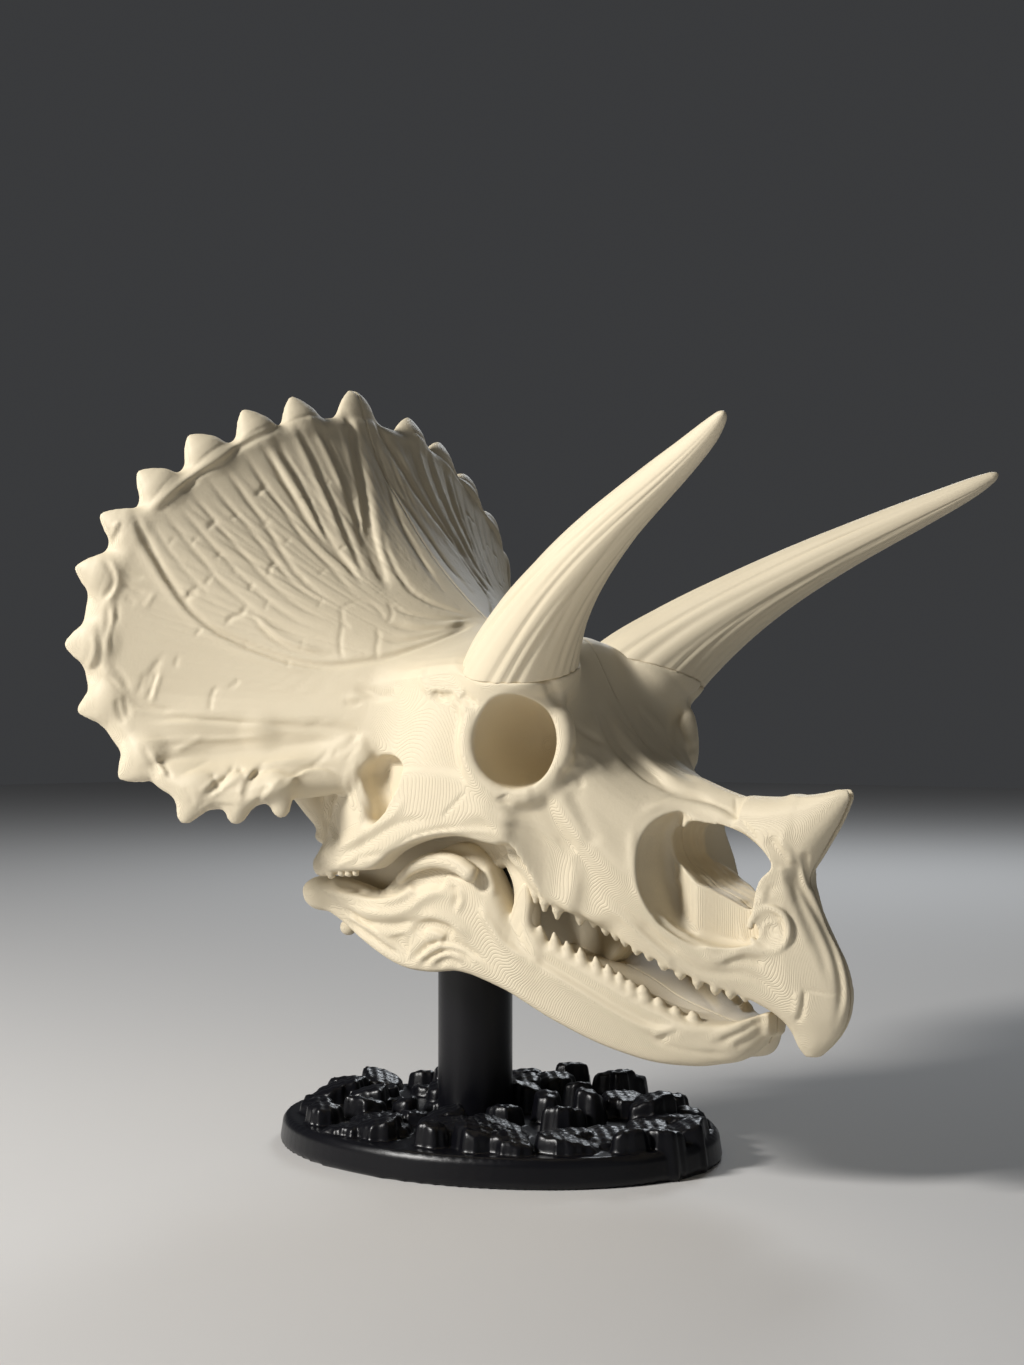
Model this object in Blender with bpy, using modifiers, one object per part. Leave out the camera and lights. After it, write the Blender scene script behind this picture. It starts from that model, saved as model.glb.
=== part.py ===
"""Desk model of a Triceratops skull: printed bone-coloured halves on a black post and rocky base.

Frame, in metres: +X towards the beak, +Y the animal's left, +Z up. The origin is the middle of the
base's underside. The right half of the skull is shaped first; the left half is its mirror image.
"""

import math

import bmesh
import bpy
import numpy as np
from mathutils import Matrix, Vector

# ---------------------------------------------------------------- driving dimensions
GAP = 0.0003                    # clearance between pieces that touch
VOXEL = 0.0014                  # grain of the fused skull before it is thinned out
SKULL_FACES = 1200              # faces kept on the right half of the skull
JAW_FACES = 400                 # faces kept on the right half of the lower jaw
BASE_FACES = 560                # faces kept on the rocky base
SLAB = 0.6                      # edge of the large boxes that cut pieces at a plane

# Lines that run along the skull: (place along X, value)
CREST_HEIGHT = ((-0.036, 0.176), (0.002, 0.1775), (0.030, 0.1755), (0.042, 0.1715), (0.051, 0.1564),
                (0.066, 0.1385), (0.086, 0.1285), (0.104, 0.1225), (0.128, 0.1215))
BROW_HALF_WIDTH = ((-0.036, 0.022), (-0.026, 0.034), (0.000, 0.043), (0.028, 0.044), (0.046, 0.0375),
                   (0.058, 0.030), (0.076, 0.021), (0.100, 0.011), (0.128, 0.006))
BROW_HEIGHT = ((-0.036, 0.158), (0.000, 0.163), (0.030, 0.163), (0.048, 0.156), (0.060, 0.136),
               (0.076, 0.121), (0.100, 0.112), (0.128, 0.108))
CHEEK_HALF_WIDTH = ((-0.036, 0.021), (-0.026, 0.034), (-0.016, 0.045), (0.000, 0.049), (0.028, 0.0465),
                    (0.048, 0.0385), (0.068, 0.0325), (0.090, 0.024), (0.110, 0.0165), (0.128, 0.0095))
CHEEK_HEIGHT = ((-0.036, 0.138), (0.020, 0.134), (0.050, 0.124), (0.075, 0.101), (0.100, 0.086),
                (0.128, 0.080))
EDGE_HALF_WIDTH = ((-0.036, 0.017), (-0.024, 0.032), (-0.012, 0.044), (0.020, 0.047), (0.046, 0.040),
                   (0.052, 0.031), (0.080, 0.0235), (0.105, 0.015), (0.128, 0.0075))
EDGE_HEIGHT = ((-0.036, 0.112), (-0.012, 0.112), (0.020, 0.112), (0.044, 0.109), (0.051, 0.0875),
               (0.080, 0.0745), (0.100, 0.0655), (0.118, 0.060), (0.128, 0.0575))
FOSSA_HEIGHT = ((-0.036, 0.113), (-0.012, 0.1110), (0.020, 0.1110), (0.041, 0.1070), (0.051, 0.0860),
                (0.080, 0.0715), (0.100, 0.0640), (0.128, 0.0580))
FOSSA_SHARE = 0.69              # where the deepest part of the underside lies, from midline to edge
CORE_SHARE = 0.55               # half-width of the solid palate, as a share of the edge's
PALATE_HEIGHT = ((-0.036, 0.110), (-0.020, 0.102), (0.000, 0.098), (0.040, 0.090), (0.060, 0.0760),
                 (0.080, 0.0650), (0.100, 0.0600), (0.118, 0.0600), (0.128, 0.0580))
SKULL_BACK = -0.036
SKULL_FRONT = 0.128
SKULL_STATIONS = 34
ROOF_SHARE = (0.55, 0.62)       # of the brow's half-width, and of the way up from brow to crest
SIDE_BULGE = (1.01, 1.02)       # how far the side swells above and below the cheek line

# Beak, as level slices: (height, front, back, half-width)
BEAK_SLICES = ((0.1000, 0.1285, 0.108, 0.0090), (0.0940, 0.1290, 0.106, 0.0100),
               (0.0860, 0.1318, 0.104, 0.0105), (0.0730, 0.1387, 0.104, 0.0100),
               (0.0627, 0.1407, 0.108, 0.0085), (0.0570, 0.1400, 0.117, 0.0068),
               (0.0520, 0.1375, 0.1215, 0.0052), (0.0475, 0.1335, 0.1235, 0.0038),
               (0.0445, 0.1300, 0.1255, 0.0022))
# Plan of a slice: (share of its length from the front or the back, share of its half-width)
BEAK_FRONT_PLAN = ((0.06, 0.38), (0.22, 0.70), (0.50, 1.00))
BEAK_BACK_PLAN = (0.10, 0.95)
# Nose horn, as upright slices: (place along X, lowest, highest, half-width)
NOSE_HORN_SLICES = ((0.106, 0.106, 0.1222, 0.0085), (0.118, 0.103, 0.1225, 0.0085),
                    (0.128, 0.1025, 0.1235, 0.0072), (0.133, 0.1085, 0.1245, 0.0056),
                    (0.138, 0.1160, 0.1258, 0.0034), (0.1412, 0.1220, 0.1262, 0.0014))

# Brow horn of the right side: a cubic curve from its root to its tip, and its radius along it
HORN_CURVE = ((0.0381, -0.0315, 0.1600), (0.0716, -0.0565, 0.1986),
              (0.1308, -0.0683, 0.2146), (0.1500, -0.0788, 0.2273))
HORN_RADIUS = ((0.00, 0.0192), (0.12, 0.0155), (0.25, 0.0120), (0.50, 0.0076), (0.75, 0.0048),
               (0.93, 0.0026), (1.00, 0.0012))
HORN_SEAT = Vector((0.0400, -0.0300, 0.1640))       # middle of the ring where the horn is fitted
HORN_SEAT_NORMAL = Vector((0.10, -0.27, 0.957)).normalized()

# Eye socket and the openings of the right side
ORBIT_CENTRE = Vector((0.0426, -0.0402, 0.1394))
ORBIT_NORMAL = Vector((0.42, -0.905, 0.06)).normalized()
ORBIT_RADIUS_ALONG = 0.0144
ORBIT_RADIUS_UP = 0.0154
ORBIT_DEPTH = 0.017
ORBIT_RIM = 0.0036
FENESTRA_OUTLINE = ((-0.0045, 0.1340), (0.0010, 0.1315), (0.0030, 0.1265), (0.0000, 0.1200),
                    (-0.0060, 0.1145), (-0.0105, 0.1165), (-0.0125, 0.1260), (-0.0095, 0.1325))
NOSTRIL_OUTLINE = ((0.0800, 0.1100), (0.0850, 0.1170), (0.0950, 0.1180), (0.1050, 0.1145),
                   (0.1140, 0.1080), (0.1185, 0.1020), (0.1150, 0.0970), (0.1140, 0.0880),
                   (0.1150, 0.0790), (0.1050, 0.0770), (0.0930, 0.0800), (0.0850, 0.0870),
                   (0.0810, 0.0970))
FENESTRA_DEPTH = (0.070, 0.043)  # distances from the midline between which it is cut
NOSTRIL_MOUTH = 0.045            # outside the snout, where the nostril's cutters begin
NOSTRIL_FLOOR = 0.0085           # half-width left between the two nostril pits
NOSTRIL_WINDOW = ((0.0975, 0.1090), (0.0960, 0.1045), (0.1000, 0.0985), (0.1070, 0.0945),
                  (0.1140, 0.0930), (0.1165, 0.1000), (0.1130, 0.1060), (0.1060, 0.1110))

# Cheek flange of the right side, seen from the side
FLANGE_OUTLINE = ((-0.0375, 0.0950), (-0.0300, 0.0945), (-0.0190, 0.0960), (-0.0090, 0.0975),
                  (-0.0010, 0.1030), (0.0100, 0.1075), (0.0240, 0.1100), (0.0420, 0.1095),
                  (0.0380, 0.1250), (0.0050, 0.1320), (-0.0040, 0.1160), (-0.0150, 0.1095),
                  (-0.0260, 0.1050), (-0.0335, 0.1025), (-0.0385, 0.1000))
FLANGE_OUTER = ((-0.0385, 0.0515), (-0.020, 0.0535), (0.010, 0.0508), (0.042, 0.0450))
FLANGE_THICKNESS = 0.0090
# Bar of the right side between the opening behind the eye and the notch, seen from the side
BAR_OUTLINE = ((-0.0300, 0.1000), (-0.0160, 0.1000), (-0.0120, 0.1120), (-0.0130, 0.1360),
               (-0.0240, 0.1360), (-0.0240, 0.1140))
BAR_SIDES = (0.0530, 0.0400)     # distance of the bar's outer and inner faces from the midline

# Frill: the line of the spike tips on the right side, from the midline round to the notch
TIP_LINE = ((-0.0700, 0.0000, 0.2700), (-0.0695, -0.0310, 0.2650), (-0.0770, -0.0730, 0.2465),
            (-0.0850, -0.1045, 0.2170), (-0.0925, -0.1138, 0.1850), (-0.0905, -0.1110, 0.1495),
            (-0.0770, -0.1040, 0.1270), (-0.0560, -0.0940, 0.1125), (-0.0295, -0.0740, 0.1140))
# Points that the spikes point away from, along the same line
AIM_LINE = ((-0.0450, 0.0000, 0.2000), (-0.0480, -0.0500, 0.1850), (-0.0500, -0.0750, 0.1680),
            (-0.0500, -0.0850, 0.1500), (-0.0310, -0.0760, 0.1400))
# How far along that line each spike stands, its height and half its width
SPIKES = ((0.112, 0.0095, 0.0088), (0.192, 0.0105, 0.0088), (0.278, 0.0115, 0.0095),
          (0.363, 0.0115, 0.0090), (0.439, 0.0110, 0.0080), (0.511, 0.0115, 0.0085),
          (0.605, 0.0120, 0.0088), (0.685, 0.0120, 0.0080), (0.781, 0.0120, 0.0085),
          (0.879, 0.0110, 0.0070), (0.945, 0.0100, 0.0058), (1.000, 0.0100, 0.0050))
SPIKE_ROOT = 0.004              # how deep each spike goes into the sheet
SPIKE_FLATNESS = 0.55           # thickness of a spike as a share of its width
SPIKE_TAPER = ((0.0, 1.15), (0.35, 1.0), (0.62, 0.62), (0.85, 0.34), (1.0, 0.14))
MIDLINE_SPIKE = (Vector((-0.0700, 0.0, 0.2560)), Vector((-0.0735, 0.0, 0.2707)))
MIDLINE_SPIKE_TAPER = ((0.0, 1.2), (0.4, 1.0), (0.75, 0.6), (1.0, 0.2))
MIDLINE_SPIKE_HALF = (0.0042, 0.0105)
RIM_INSET = 0.0105              # from the tip line to the rim of the sheet
HINGE_LINE = ((0.0060, 0.0000, 0.1745), (0.0000, -0.0240, 0.1700), (-0.0050, -0.0420, 0.1580),
              (-0.0080, -0.0480, 0.1400), (-0.0130, -0.0500, 0.1270))
# Occiput: the ball joint at the back of the braincase, and the bar from it out to the frill
CONDYLE_CENTRE = Vector((-0.0400, 0.0, 0.1280))
CONDYLE_RADIUS = 0.0080
OCCIPUT_BAR = ((-0.0260, -0.0150, 0.1450), (-0.0380, -0.0360, 0.1440), (-0.0480, -0.0640, 0.1400))
OCCIPUT_BAR_RADIUS = 0.0085
FRILL_DISH = 0.0080             # how far the front face is hollowed
FRILL_THICKNESS = 0.0075

# Lower jaw: (place along X, value)
JAW_TOP = ((-0.0490, 0.0900), (-0.0400, 0.0925), (-0.0280, 0.0905), (-0.0160, 0.0890),
           (-0.0070, 0.0960), (0.0050, 0.1015), (0.0135, 0.1045), (0.0210, 0.1035), (0.0290, 0.0955),
           (0.0350, 0.0805), (0.0500, 0.0745), (0.0700, 0.0650), (0.0850, 0.0570), (0.0960, 0.0530),
           (0.1060, 0.0535), (0.1140, 0.0570))
JAW_BOTTOM = ((-0.0490, 0.0855), (-0.0340, 0.0795), (-0.0240, 0.0735), (-0.0070, 0.0660),
              (0.0050, 0.0640), (0.0140, 0.0650), (0.0300, 0.0610), (0.0500, 0.0515), (0.0700, 0.0435),
              (0.0850, 0.0400), (0.1000, 0.0405), (0.1100, 0.0445), (0.1140, 0.0500))
JAW_HALF_WIDTH = ((-0.0490, 0.0450), (-0.0100, 0.0430), (0.0400, 0.0350), (0.0600, 0.0300),
                  (0.0800, 0.0235), (0.1000, 0.0155), (0.1100, 0.0095), (0.1140, 0.0050))
JAW_THICKNESS = ((-0.0490, 0.0110), (0.0200, 0.0130), (0.0700, 0.0130), (0.0880, 0.0180),
                 (0.0980, 0.0300), (0.1140, 0.0300))
JAW_BACK = -0.0490
JAW_FRONT = 0.1150
JAW_STATIONS = 34
# Cross-section, round from the top's outer corner: (height share, outer and inner half-width shares)
JAW_SECTION = ((1.00, 0.93, 0.00), (0.68, 1.00, 0.00), (0.30, 0.97, 0.00), (0.00, 0.80, 0.20),
               (0.04, 0.30, 0.70), (0.30, 0.00, 1.00), (0.72, 0.00, 1.00), (1.00, 0.32, 0.65))

# Teeth: first and last place along X, and how many
UPPER_TEETH = (0.0490, 0.1020, 14)
LOWER_TEETH = (0.0440, 0.0960, 13)
UPPER_TOOTH = (0.0036, 0.0017)   # length, radius at the root
LOWER_TOOTH = (0.0046, 0.0019)
UPPER_TOOTH_SEAT = (0.0008, 0.0030)  # depth of the root above the edge, and inwards from the side
LOWER_TOOTH_SEAT = (0.0008, 0.0042)

# Where the skull is parted: nodes and the planes between them (point, direction of the front side)
FRILL_CUT = (Vector((-0.0065, 0.0, 0.1790)), Vector((0.86, 0.30, -0.42)).normalized())
FACE_CUT = (Vector((0.0640, 0.0, 0.1300)), Vector((0.94, 0.0, -0.34)).normalized())
NOSE_CUT = (Vector((0.1190, 0.0, 0.1100)), Vector((0.50, 0.0, 0.86)).normalized())
BEAK_CUT = (Vector((0.1190, 0.0, 0.0750)), Vector((1.0, 0.0, -0.05)).normalized())
CHEEK_CUT = (Vector((0.0000, 0.0, 0.1150)), Vector((0.16, 0.0, -0.98)).normalized())
CHEEK_INNER = 0.0397            # nearer the midline than this belongs to the cranium
CHIN_CUT = (Vector((0.0970, 0.0, 0.0480)), Vector((0.97, 0.0, 0.24)).normalized())

# Stand
BASE_HALF_LENGTH = 0.0800
BASE_HALF_WIDTH = 0.0621
BASE_TURN = math.radians(12.1)
BASE_HEIGHT = 0.0095
BASE_DRAFT = 0.94
BASE_SPARE = 0.004              # depth below the floor line that is cut away flat
ROCK_RINGS = ((0.86, 22, 0.0105), (0.60, 15, 0.0115), (0.33, 8, 0.0105))
ROCK_HEIGHT = 0.0056
ROCK_LEAN = 0.35                # how much lower the rocks are at the front end
POST_CENTRE = (-0.0100, 0.0)
POST_RADIUS = 0.0130
POST_TOP = 0.1130

BONE = (0.79, 0.71, 0.56, 1.0)
BLACK = (0.012, 0.012, 0.014, 1.0)


# ---------------------------------------------------------------- curves and rings
def along(knots, place):
    """Value of a smooth line of (place, value) knots at a place, held level past its ends."""
    xs = np.array([k[0] for k in knots])
    ys = np.array([k[1] for k in knots])
    slopes = np.gradient(ys, xs)
    place = min(max(place, xs[0]), xs[-1])
    i = min(int(np.searchsorted(xs, place, side="right")) - 1, len(xs) - 2)
    span = xs[i + 1] - xs[i]
    t = (place - xs[i]) / span
    low = ys[i] * (1 + 2 * t) * (1 - t) ** 2 + slopes[i] * span * t * (1 - t) ** 2
    high = ys[i + 1] * t * t * (3 - 2 * t) - slopes[i + 1] * span * t * t * (1 - t)
    return float(low + high)


def line_point(points, fraction):
    """Point at a fraction of the length of a smooth line through points."""
    pts = np.array(points)
    lengths = np.concatenate(([0.0], np.cumsum(np.linalg.norm(np.diff(pts, axis=0), axis=1))))
    place = fraction * lengths[-1]
    return Vector([along(list(zip(lengths, pts[:, axis])), place) for axis in range(3)])


def round_outline(points, count):
    """Closed outline with rounded turns through a few points, as (first, second) pairs."""
    pts = [np.array(p) for p in points]
    result = []
    for i in range(count):
        place = i * len(pts) / count
        k = int(place)
        t = place - k
        a, b, c, d = (pts[(k + n) % len(pts)] for n in (-1, 0, 1, 2))
        result.append(tuple(0.5 * (2 * b + (c - a) * t + (2 * a - 5 * b + 4 * c - d) * t ** 2
                                   + (3 * b - a - 3 * c + d) * t ** 3)))
    return result


def bezier(points, t):
    """Point of a cubic curve at t."""
    a, b, c, d = (Vector(p) for p in points)
    return a * (1 - t) ** 3 + b * 3 * t * (1 - t) ** 2 + c * 3 * t * t * (1 - t) + d * t ** 3


# ---------------------------------------------------------------- meshes
def loft(rings):
    """Closed mesh through rings of equal length, with a flat cap on each end."""
    bm = bmesh.new()
    rows = [[bm.verts.new(p) for p in ring] for ring in rings]
    count = len(rings[0])
    for lower, upper in zip(rows, rows[1:]):
        for i in range(count):
            j = (i + 1) % count
            bm.faces.new((lower[i], lower[j], upper[j], upper[i]))
    bm.faces.new(list(reversed(rows[0])))
    bm.faces.new(rows[-1])
    bmesh.ops.recalc_face_normals(bm, faces=bm.faces)
    return bm


def mirrored(bm):
    """Copy of a mesh on the other side of the midline."""
    twin = bm.copy()
    bmesh.ops.transform(twin, matrix=Matrix.Diagonal((1, -1, 1, 1)), verts=twin.verts)
    bmesh.ops.reverse_faces(twin, faces=twin.faces)
    return twin


def merged(meshes):
    """One mesh that holds all of the given ones, each still a shell of its own."""
    total = bmesh.new()
    for bm in meshes:
        holder = bpy.data.meshes.new("holder")
        bm.to_mesh(holder)
        total.from_mesh(holder)
        bpy.data.meshes.remove(holder)
        bm.free()
    return total


def to_object(name, bm, collection):
    """New object made from a mesh."""
    mesh = bpy.data.meshes.new(name)
    bm.to_mesh(mesh)
    bm.free()
    obj = bpy.data.objects.new(name, mesh)
    collection.objects.link(obj)
    return obj


def settle(obj):
    """Apply the object's modifiers to its mesh."""
    graph = bpy.context.evaluated_depsgraph_get()
    mesh = bpy.data.meshes.new_from_object(obj.evaluated_get(graph))
    obj.modifiers.clear()
    obj.data = mesh
    return obj


def fuse(obj, faces, smoothing):
    """Turn overlapping shells into one skin, soften it and thin it out."""
    remesh = obj.modifiers.new("Fuse", "REMESH")
    remesh.mode = "VOXEL"
    remesh.voxel_size = VOXEL
    soft = obj.modifiers.new("Soften", "SMOOTH")
    soft.factor = 0.5
    soft.iterations = smoothing
    settle(obj)
    thin = obj.modifiers.new("Thin", "DECIMATE")
    thin.ratio = faces / max(2 * len(obj.data.polygons), 1)
    thin.use_collapse_triangulate = True
    return settle(obj)


def boolean(obj, cutter, operation):
    """Apply one exact Boolean with a cutter object."""
    step = obj.modifiers.new(operation.title(), "BOOLEAN")
    step.operation = operation
    step.object = cutter
    settle(obj)
    return obj


def largest_piece(obj):
    """Keep only the largest connected shell of an object."""
    bm = bmesh.new()
    bm.from_mesh(obj.data)
    bmesh.ops.remove_doubles(bm, verts=bm.verts, dist=0.00001)
    groups = []
    seen = set()
    for start in bm.verts:
        if start in seen:
            continue
        group = [start]
        seen.add(start)
        for vert in group:
            for edge in vert.link_edges:
                other = edge.other_vert(vert)
                if other not in seen:
                    seen.add(other)
                    group.append(other)
        groups.append(group)
    groups.sort(key=len, reverse=True)
    bmesh.ops.delete(bm, geom=[v for group in groups[1:] for v in group], context="VERTS")
    bmesh.ops.triangulate(bm, faces=bm.faces)
    bm.to_mesh(obj.data)
    bm.free()
    return obj


# ---------------------------------------------------------------- cutters
def slab(name, point, normal, cutters):
    """Large box that fills the side of a plane to which the normal points."""
    bm = bmesh.new()
    bmesh.ops.create_cube(bm, size=SLAB)
    turn = normal.to_track_quat("Z", "Y").to_matrix().to_4x4()
    place = Matrix.Translation(point + normal * (SLAB / 2)) @ turn
    bmesh.ops.transform(bm, matrix=place, verts=bm.verts)
    return guide(to_object(name, bm, cutters))


def guide(obj):
    """Mark an object as a cutter."""
    obj.hide_render = True
    obj.display_type = "WIRE"
    return obj


def prism(name, outline, near, far, taper, cutters):
    """Cutter with an outline in X and Z, between two places along Y, smaller at the far one."""
    middle = np.mean(np.array(outline), axis=0)
    rings = []
    for y, scale in ((near, 1.0), (far, taper)):
        rings.append([(middle[0] + (x - middle[0]) * scale, y, middle[1] + (z - middle[1]) * scale)
                      for x, z in outline])
    return guide(to_object(name, loft(rings), cutters))


def copy_of(obj, name, collection):
    """Separate copy of an object and its mesh."""
    twin = bpy.data.objects.new(name, obj.data.copy())
    collection.objects.link(twin)
    return twin


def part_by_plane(obj, plane, front_name, back_name, collection, cutters):
    """Part an object by a plane, leaving a thin gap: the front piece and the back piece."""
    point, normal = plane
    front = copy_of(obj, front_name, collection)
    behind = slab("behind_" + front_name, point + normal * (GAP / 2), -normal, cutters)
    ahead = slab("ahead_" + back_name, point - normal * (GAP / 2), normal, cutters)
    boolean(front, behind, "DIFFERENCE")
    boolean(obj, ahead, "DIFFERENCE")
    obj.name = back_name
    return largest_piece(front), largest_piece(obj)


# ---------------------------------------------------------------- skull
def cranium_mesh():
    """Body of the skull from the back of the head to the snout, lofted along X."""
    rings = []
    for x in np.linspace(SKULL_BACK, SKULL_FRONT, SKULL_STATIONS):
        crest = along(CREST_HEIGHT, x)
        brow = (along(BROW_HALF_WIDTH, x), along(BROW_HEIGHT, x))
        cheek = (along(CHEEK_HALF_WIDTH, x), along(CHEEK_HEIGHT, x))
        edge = (along(EDGE_HALF_WIDTH, x), along(EDGE_HEIGHT, x))
        palate = along(PALATE_HEIGHT, x)
        roof = (brow[0] * ROOF_SHARE[0], crest * ROOF_SHARE[1] + brow[1] * (1 - ROOF_SHARE[1]))
        fossa = (edge[0] * FOSSA_SHARE, along(FOSSA_HEIGHT, x))
        core = (edge[0] * CORE_SHARE, palate + 0.001)
        upper = ((brow[0] + cheek[0]) / 2 * SIDE_BULGE[0], (brow[1] + cheek[1]) / 2)
        lower = ((edge[0] + cheek[0]) / 2 * SIDE_BULGE[1], (edge[1] + cheek[1]) / 2)
        side = [roof, brow, upper, cheek, lower, edge, fossa, core]
        ring = [(x, 0.0, crest)] + [(x, -y, z) for y, z in side]
        ring += [(x, 0.0, palate)] + [(x, y, z) for y, z in reversed(side)]
        rings.append(ring)
    return loft(rings)


def beak_mesh():
    """Hooked upper beak, lofted downwards through level slices with a sharp front."""
    rings = []
    for z, front, back, half in BEAK_SLICES:
        length = front - back
        side = [(front - length * share, half * width) for share, width in BEAK_FRONT_PLAN]
        side.append((back + length * BEAK_BACK_PLAN[0], half * BEAK_BACK_PLAN[1]))
        ring = [(front, 0.0, z)] + [(x, -y, z) for x, y in side]
        ring += [(back, 0.0, z)] + [(x, y, z) for x, y in reversed(side)]
        rings.append(ring)
    return loft(rings)


def nose_horn_mesh():
    """Short horn over the nostrils, lofted forwards through upright oval slices."""
    rings = []
    for x, low, high, half in NOSE_HORN_SLICES:
        middle = (low + high) / 2
        ring = []
        for angle in np.linspace(0, 2 * math.pi, 12, endpoint=False):
            ring.append((x, half * math.cos(angle), middle + (high - low) / 2 * math.sin(angle)))
        rings.append(ring)
    return loft(rings)


def flange_mesh():
    """Cheek flange of the right side: a plate that follows the side of the head."""
    outer = [(x, -along(FLANGE_OUTER, x), z) for x, z in FLANGE_OUTLINE]
    inner = [(x, y + FLANGE_THICKNESS, z) for x, y, z in outer]
    return loft([outer, inner])


def bar_mesh():
    """Bar of the right side between the opening behind the eye and the notch."""
    return loft([[(x, -side, z) for x, z in BAR_OUTLINE] for side in BAR_SIDES])


def orbit_frame():
    """Axes of the right eye socket: forwards, upwards and outwards, placed at its centre."""
    up = Vector((0, 0, 1))
    forward = up.cross(ORBIT_NORMAL).normalized()
    upward = ORBIT_NORMAL.cross(forward).normalized()
    frame = Matrix((forward, upward, ORBIT_NORMAL)).transposed().to_4x4()
    return Matrix.Translation(ORBIT_CENTRE) @ frame


def orbit_rim_mesh():
    """Raised ring round the right eye socket."""
    bm = bmesh.new()
    rows = []
    for i in range(24):
        angle = 2 * math.pi * i / 24
        row = []
        for a in np.linspace(0, 2 * math.pi, 8, endpoint=False):
            spread = ORBIT_RIM * (0.8 + math.cos(a))
            along_axis = math.cos(angle) * (ORBIT_RADIUS_ALONG + spread)
            up_axis = math.sin(angle) * (ORBIT_RADIUS_UP + spread)
            row.append(bm.verts.new((along_axis, up_axis, ORBIT_RIM * math.sin(a))))
        rows.append(row)
    for lower, upper in zip(rows, rows[1:] + rows[:1]):
        for i in range(8):
            j = (i + 1) % 8
            bm.faces.new((lower[i], lower[j], upper[j], upper[i]))
    bmesh.ops.transform(bm, matrix=orbit_frame(), verts=bm.verts)
    bmesh.ops.recalc_face_normals(bm, faces=bm.faces)
    return bm


def tube_mesh(points, radius, sides):
    """Round bar through a few points."""
    rings = []
    for t in np.linspace(0, 1, 7):
        middle = line_point(points, t)
        ahead = line_point(points, min(t + 0.02, 1)) - line_point(points, max(t - 0.02, 0))
        across = ahead.cross(Vector((0, 0, 1))).normalized()
        upward = across.cross(ahead).normalized()
        rings.append([middle + across * radius * math.cos(a) + upward * radius * math.sin(a)
                      for a in np.linspace(0, 2 * math.pi, sides, endpoint=False)])
    return loft(rings)


def ball_mesh(centre, radius):
    """Sphere."""
    bm = bmesh.new()
    bmesh.ops.create_icosphere(bm, subdivisions=3, radius=radius)
    bmesh.ops.translate(bm, vec=centre, verts=bm.verts)
    return bm


def horn_mesh(first, last, sides, steps, extra=0.0):
    """Brow horn of the right side between two places on its curve, widened by an extra radius."""
    rings = []
    for t in np.linspace(first, last, steps):
        middle = bezier(HORN_CURVE, t)
        ahead = bezier(HORN_CURVE, min(t + 0.01, 1.01)) - bezier(HORN_CURVE, t - 0.01)
        across = ahead.cross(Vector((0, 0, 1))).normalized()
        upward = across.cross(ahead).normalized()
        radius = along(HORN_RADIUS, t) + extra
        rings.append([middle + across * radius * math.cos(a) + upward * radius * math.sin(a)
                      for a in np.linspace(0, 2 * math.pi, sides, endpoint=False)])
    return loft(rings)


def cut_flat(bm, point, normal):
    """Remove what lies ahead of a plane and close the cut."""
    geometry = bm.verts[:] + bm.edges[:] + bm.faces[:]
    cut = bmesh.ops.bisect_plane(bm, geom=geometry, plane_co=point, plane_no=normal, clear_outer=True)
    edges = [e for e in cut["geom_cut"] if isinstance(e, bmesh.types.BMEdge)]
    bmesh.ops.contextual_create(bm, geom=edges)
    bmesh.ops.recalc_face_normals(bm, faces=bm.faces)
    return bm


def rim_point(fraction, inset):
    """Point inside the tip line, behind the spike that would stand there."""
    tip = line_point(TIP_LINE, fraction)
    return tip - spike_direction(fraction) * inset


def spike_direction(fraction):
    """Direction in which the rim's spikes point at a place on the tip line."""
    return (line_point(TIP_LINE, fraction) - line_point(AIM_LINE, fraction)).normalized()


def frill_point(fraction, reach):
    """Point of the frill's front face: round from the midline, and out from the hinge."""
    root = line_point(HINGE_LINE, fraction)
    rim = rim_point(fraction, RIM_INSET)
    chord = rim - root
    backward = Vector((-0.80, 0.0, -0.60)) * (1 - fraction) + Vector((-0.45, 0.75, 0.0)) * fraction
    backward -= chord * (backward.dot(chord) / chord.length_squared)
    depth = FRILL_DISH * (1 - 0.7 * fraction) * 4 * reach * (1 - reach)
    return root + chord * reach + backward.normalized() * depth


def frill_mesh():
    """Sheet of the frill, right and left, as a solid of even thickness."""
    columns = 49
    rows = 11
    front = []
    for i in range(columns):
        side = 2 * i / (columns - 1) - 1
        points = [frill_point(abs(side), j / (rows - 1)) for j in range(rows)]
        front.append([Vector((p.x, -p.y if side > 0 else p.y, p.z)) for p in points])
    bm = bmesh.new()
    grid = [[bm.verts.new(p) for p in column] for column in front]
    for a, b in zip(grid, grid[1:]):
        for j in range(rows - 1):
            bm.faces.new((a[j], b[j], b[j + 1], a[j + 1]))
    bmesh.ops.recalc_face_normals(bm, faces=bm.faces)
    facing = sum((f.normal * f.calc_area() for f in bm.faces), Vector())
    if facing.x > 0:
        bmesh.ops.reverse_faces(bm, faces=bm.faces)
    bmesh.ops.solidify(bm, geom=bm.faces[:], thickness=-FRILL_THICKNESS)
    bmesh.ops.recalc_face_normals(bm, faces=bm.faces)
    return bm


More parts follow.
